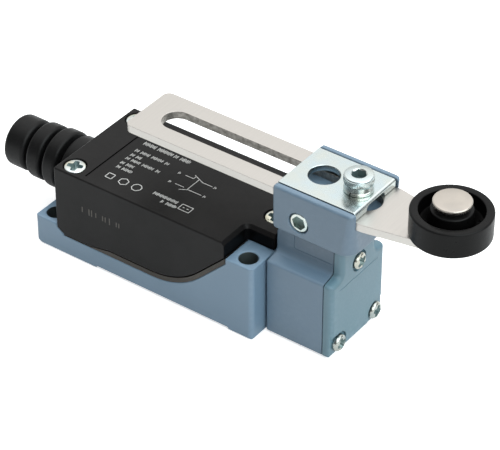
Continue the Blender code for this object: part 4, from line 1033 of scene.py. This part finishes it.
def build_bolt():
    """Socket-head bolt with a fine straight knurl above a groove."""
    lowest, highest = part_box("clamp_bolt")
    radius, top = (highest.x - lowest.x) / 2, highest.z
    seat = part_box("spring_washer")[1].z + 0.08 * MM
    knurl_low = seat + (top - seat) * 0.45
    shank, edge = 1.95 * MM, 0.4 * MM
    collar, groove = radius - 0.12 * MM, radius - 0.3 * MM

    def knurl(reach, height, step):
        inside = knurl_low - 0.02 * MM < height < top - 0.6 * MM
        return -0.10 * MM * (step % 2) if inside and reach > radius * 0.98 else 0

    profile = [(0, lowest.z), (1.6 * MM, lowest.z), (shank, lowest.z + 0.4 * MM), (shank, seat)]
    profile += [(radius - 0.1 * MM, seat), (collar, seat + 0.1 * MM), (collar, knurl_low - 0.3 * MM)]
    profile += [(groove, knurl_low - 0.25 * MM), (groove, knurl_low - 0.05 * MM)]
    profile += [(radius, knurl_low), (radius, top - 0.65 * MM), (radius, top - 0.5 * MM)]
    profile += [(radius - edge * a, top - edge * b) for a, b in quarter(3)] + [(0, top)]
    blank = turned(profile, ALONG_Z, (BOLT.x, 0, 0), 120, knurl)
    corner, past = 3.05 * MM / math.sqrt(3), top + MM
    socket = turned([(0, top - 2.2 * MM), (corner, top - 2.0 * MM), (corner, past), (0, past)], steps=6)
    mouth, turn = 1.85 * MM, Matrix.Rotation(math.radians(10), 4, "Z")
    lead = [(0, top - 0.55 * MM), (1.35 * MM, top - 0.45 * MM), (mouth, top + 0.05 * MM)]
    lead += [(mouth, past), (0, past)]
    cutters = [placed(socket, turn, (BOLT.x, 0, 0)), turned(lead, ALONG_Z, (BOLT.x, 0, 0), SMALL_ROUND)]
    obj = piece("clamp_bolt_fine", carve(blank, *cutters), ZINC, "lever", ["clamp_bolt"])

    def socket_wall(spot, normal):
        reach = math.hypot(spot.x - BOLT.x, spot.y)
        return reach < 1.8 * MM and top - 3 * MM < spot.z < top - 0.45 * MM

    # painted shade inside the hex socket
    repaint(obj, PAINTED_SOCKET_SHADE, socket_wall)


def build_washer():
    lowest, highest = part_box("spring_washer")
    outer, inner, edge = 3.35 * MM, 2.15 * MM, 0.12 * MM
    low, high = lowest.z, highest.z
    profile = [(inner, low + edge), (inner + edge, low), (outer - edge, low), (outer, low + edge)]
    profile += [(radius, low + high - z) for radius, z in reversed(profile)]
    blank = turned(profile, ALONG_Z, (BOLT.x, 0, 0))
    ends = [(-0.6, low - MM), (-0.3, low - MM), (0.5, high + MM), (0.2, high + MM)]
    cut = prism([(BOLT.x + x * MM, z) for x, z in ends], -6 * MM, 0, "XZ")
    piece("spring_washer_fine", carve(blank, cut), STEEL, "lever", ["spring_washer"])


def arm_outline():
    half, tip, taper_x, corner = ARM_HIGH.y, 4.6 * MM, 27.0 * MM, 1.8 * MM
    lean = math.degrees(math.asin((half - tip) / (ROLLER.x - taper_x)))
    outline = [(taper_x, -half)] + arc(ROLLER.x, 0, tip, -90 + lean, 90 - lean, 30) + [(taper_x, half)]
    outline += arc(ARM_LOW.x + corner, half - corner, corner, 90, 180, 10)
    return outline + arc(ARM_LOW.x + corner, -half + corner, corner, 180, 270, 10)


def build_arm():
    """Stamped flat bar: rolled upper edges, a slot with a soft rim."""
    solid = soft_slab(arm_outline(), ARM_LOW.z, ARM_HIGH.z, 0.08 * MM, 0.12 * MM)
    half, x0, x1 = 3.5 * MM, -28.3 * MM, BOLT.x + 2.2 * MM
    slot = arc(x0, 0, half, 90, 270, 24) + arc(x1, 0, half, -90, 90, 24)
    rim, top = 0.2 * MM, ARM_HIGH.z
    sections = [(slot, ARM_LOW.z - MM)]
    sections += [(inset(slot, -rim * a), top - rim * b) for a, b in quarter(2)]
    sections.append((inset(slot, -rim), top + MM))
    pin = rod(2.15 * MM, ARM_LOW.z - MM, top + MM, ALONG_Z, (ROLLER.x, 0, 0))
    solid = carve(solid, loft(sections), pin)
    arm = piece("arm_stamped", solid, NICKEL, "arm", ["lever_arm"])

    def slot_wall(spot, normal):
        return abs(spot.y) < half + 0.1 * MM and abs(normal.z) < 0.5 and spot.x < 30 * MM

    repaint(arm, SHEARED, slot_wall)


# ---- roller


def build_roller():
    """Moulded roller: rounded rim, deep annular recess, hub, and two gate marks in the recess."""
    lowest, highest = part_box("roller")
    radius = (highest.x - lowest.x) / 2
    rim_top, hub_top, bottom = highest.z - 0.4 * MM, highest.z, lowest.z
    rim_in, hub, bore, web = 7.2 * MM, 4.7 * MM, 2.6 * MM, 42.6 * MM
    edge = 0.45 * MM
    profile = [(bore, bottom)] + [(radius - edge * b, bottom + edge * a) for a, b in quarter(6)]
    profile += [(radius - edge * a, rim_top - edge * b) for a, b in quarter(6)]
    profile += [(rim_in + 0.25 * MM, rim_top), (rim_in + 0.07 * MM, rim_top - 0.07 * MM)]
    profile += [(rim_in, rim_top - 0.25 * MM), (rim_in - 0.1 * MM, web + 0.4 * MM)]
    profile += [(rim_in - 0.5 * MM, web), (hub + 0.5 * MM, web), (hub + 0.1 * MM, web + 0.4 * MM)]
    profile += [(hub, hub_top - 0.3 * MM), (hub - 0.1 * MM, hub_top - 0.08 * MM)]
    profile += [(hub - 0.3 * MM, hub_top), (bore, hub_top)]
    roller = turned(profile, ALONG_Z, (ROLLER.x, 0, 0), 144)
    ring = [(0.3, -0.15), (0.6, -0.15), (0.6, 1), (0.3, 1)]
    marks = []
    for degrees in (215, 35):
        turn, reach = math.radians(degrees), (rim_in + hub) / 2
        spot = (ROLLER.x + reach * math.cos(turn), reach * math.sin(turn), 0)
        marks.append(turned([(a * MM, web + b * MM) for a, b in ring], ALONG_Z, spot, 24))
    roller = carve(roller, *marks)
    wheel = piece("roller_moulded", roller, ROLLER_PLASTIC, "roller", ["roller"], 50)

    def recess(spot, normal):
        reach = math.hypot(spot.x - ROLLER.x, spot.y)
        return reach < rim_in and web - 0.5 * MM < spot.z < rim_top - 0.5 * MM

    repaint(wheel, SHADED_PLASTIC, recess)


def build_pin():
    lowest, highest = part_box("roller_pin")
    head, top = (highest.x - lowest.x) / 2, highest.z
    under, edge, clear = top - 0.9 * MM, 0.28 * MM, 0.1 * MM
    bottom, rest = ARM_LOW.z - clear, ARM_HIGH.z + clear
    profile = [(0, lowest.z), (2.3 * MM, lowest.z), (2.8 * MM, lowest.z + 0.3 * MM), (2.9 * MM, bottom)]
    profile += [(2.05 * MM, bottom), (2.05 * MM, rest), (2.45 * MM, rest), (2.45 * MM, under)]
    profile += [(head - 0.15 * MM, under), (head, under + 0.15 * MM)]
    profile += [(head - edge * a, top - edge * b) for a, b in quarter(6)] + [(head * 0.5, top), (0, top)]
    pin = turned(profile, ALONG_Z, (ROLLER.x, 0, 0))
    piece("roller_rivet", pin, SPUN_NICKEL, "arm", ["roller_pin"], 50)


# ---- springs inside


def build_springs():
    """Copies of the CAD coils, each riding on its body."""
    coils = [
        ("return_spring", "housing", "rod_push", -3.8 * MM, 2.0 * MM),
        ("plunger_spring", "housing", "plunger_push", -34.0 * MM, 2.0 * MM),
        ("bridge_spring", "plunger", "bridge_shift", -16.7 * MM, 0.8 * MM),
    ]
    for name, body, joint, fixed_x, travel in coils:
        node = frame["nodes"][name]
        bm = bmesh.new()
        bm.from_mesh(node.data)
        bm.transform(node.matrix_world)
        spring = piece(f"{name}_coil", bm, STEEL, body, [name], 60)
        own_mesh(spring)


# ---- stage, light, camera


def build_floor():
    bm = bmesh.new()
    bmesh.ops.create_grid(bm, x_segments=1, y_segments=1, size=3.0)
    floor = mesh_object("floor", bm)
    floor.location.z = -0.2 * MM
    material, nodes = new_material("pale_floor")
    nodes.surface(nodes.mix(nodes.noise(4, 2), (0.86, 0.86, 0.86), (0.88, 0.88, 0.88)), 0.9)
    seen = nodes.add("ShaderNodeLightPath").outputs["Is Camera Ray"]
    nodes.level("Emission Color", (1.0, 1.0, 1.0, 1.0))
    nodes.feed(nodes.spread(seen, 0.0, 1.0, 0.08, 0.62), nodes.shader.inputs["Emission Strength"])
    floor.data.materials.append(material)


def build_world():
    """A white overhead softbox and backdrop, with the room dark behind the camera and at the sides."""
    world = bpy.data.worlds.new("studio")
    bpy.context.scene.world = world
    world.use_nodes = True
    nodes = Nodes(world.node_tree)
    background = world.node_tree.nodes["Background"]
    way = nodes.add("ShaderNodeTexCoord").outputs["Generated"]

    def towards(direction):
        node = nodes.add("ShaderNodeVectorMath", operation="DOT_PRODUCT")
        nodes.feed(way, node.inputs[0])
        node.inputs[1].default_value = Vector(direction).normalized()
        return node.outputs["Value"]

    panels = [
        ((-0.55, 0.75, 0.45), 0.20, 0.65, (0.80, 0.80, 0.79)),
        ((0.0, 0.25, 1.0), 0.62, 0.88, (1.70, 1.70, 1.70)),
        ((0.74, -0.10, 0.66), 0.74, 0.88, (2.75, 2.95, 2.98)),
    ]
    level = (0.155, 0.155, 0.16)
    for direction, outer, inner, radiance in panels:
        share = nodes.spread(towards(direction), outer, inner, 0.0, 1.0)
        level = nodes.mix(share, level, radiance)
    nodes.feed(level, background.inputs["Color"])
    background.inputs["Strength"].default_value = 1.0


def build_camera():
    """Long lens, from the front right and above, at the object's real distance."""
    camera = bpy.data.cameras.new("camera")
    camera.sensor_width = 36.0
    camera.lens = 176.75
    obj = bpy.data.objects.new("camera", camera)
    bpy.context.scene.collection.objects.link(obj)
    azimuth, elevation = math.radians(36.1), math.radians(37.2)
    obj.location = Vector((252.97, -357.84, 354.52)) * MM
    obj.rotation_euler = (math.radians(90) - elevation, 0, azimuth)
    camera.clip_start, camera.clip_end = 0.01, 20
    bpy.context.scene.camera = obj


def build_view():
    settings = bpy.context.scene.view_settings
    settings.view_transform = "Standard"
    settings.look = "None"


STEPS = (
    finish_cad_nodes, build_housing, build_seal, build_cover, build_print, build_side_mark, build_screws,
    build_boot, build_head, build_joint_line, build_cap, build_block, build_set_screw, build_plate,
    build_bolt, build_washer, build_arm, build_roller, build_pin, build_springs, build_floor,
    build_world, build_camera, build_view,
)
for build in STEPS:
    build()
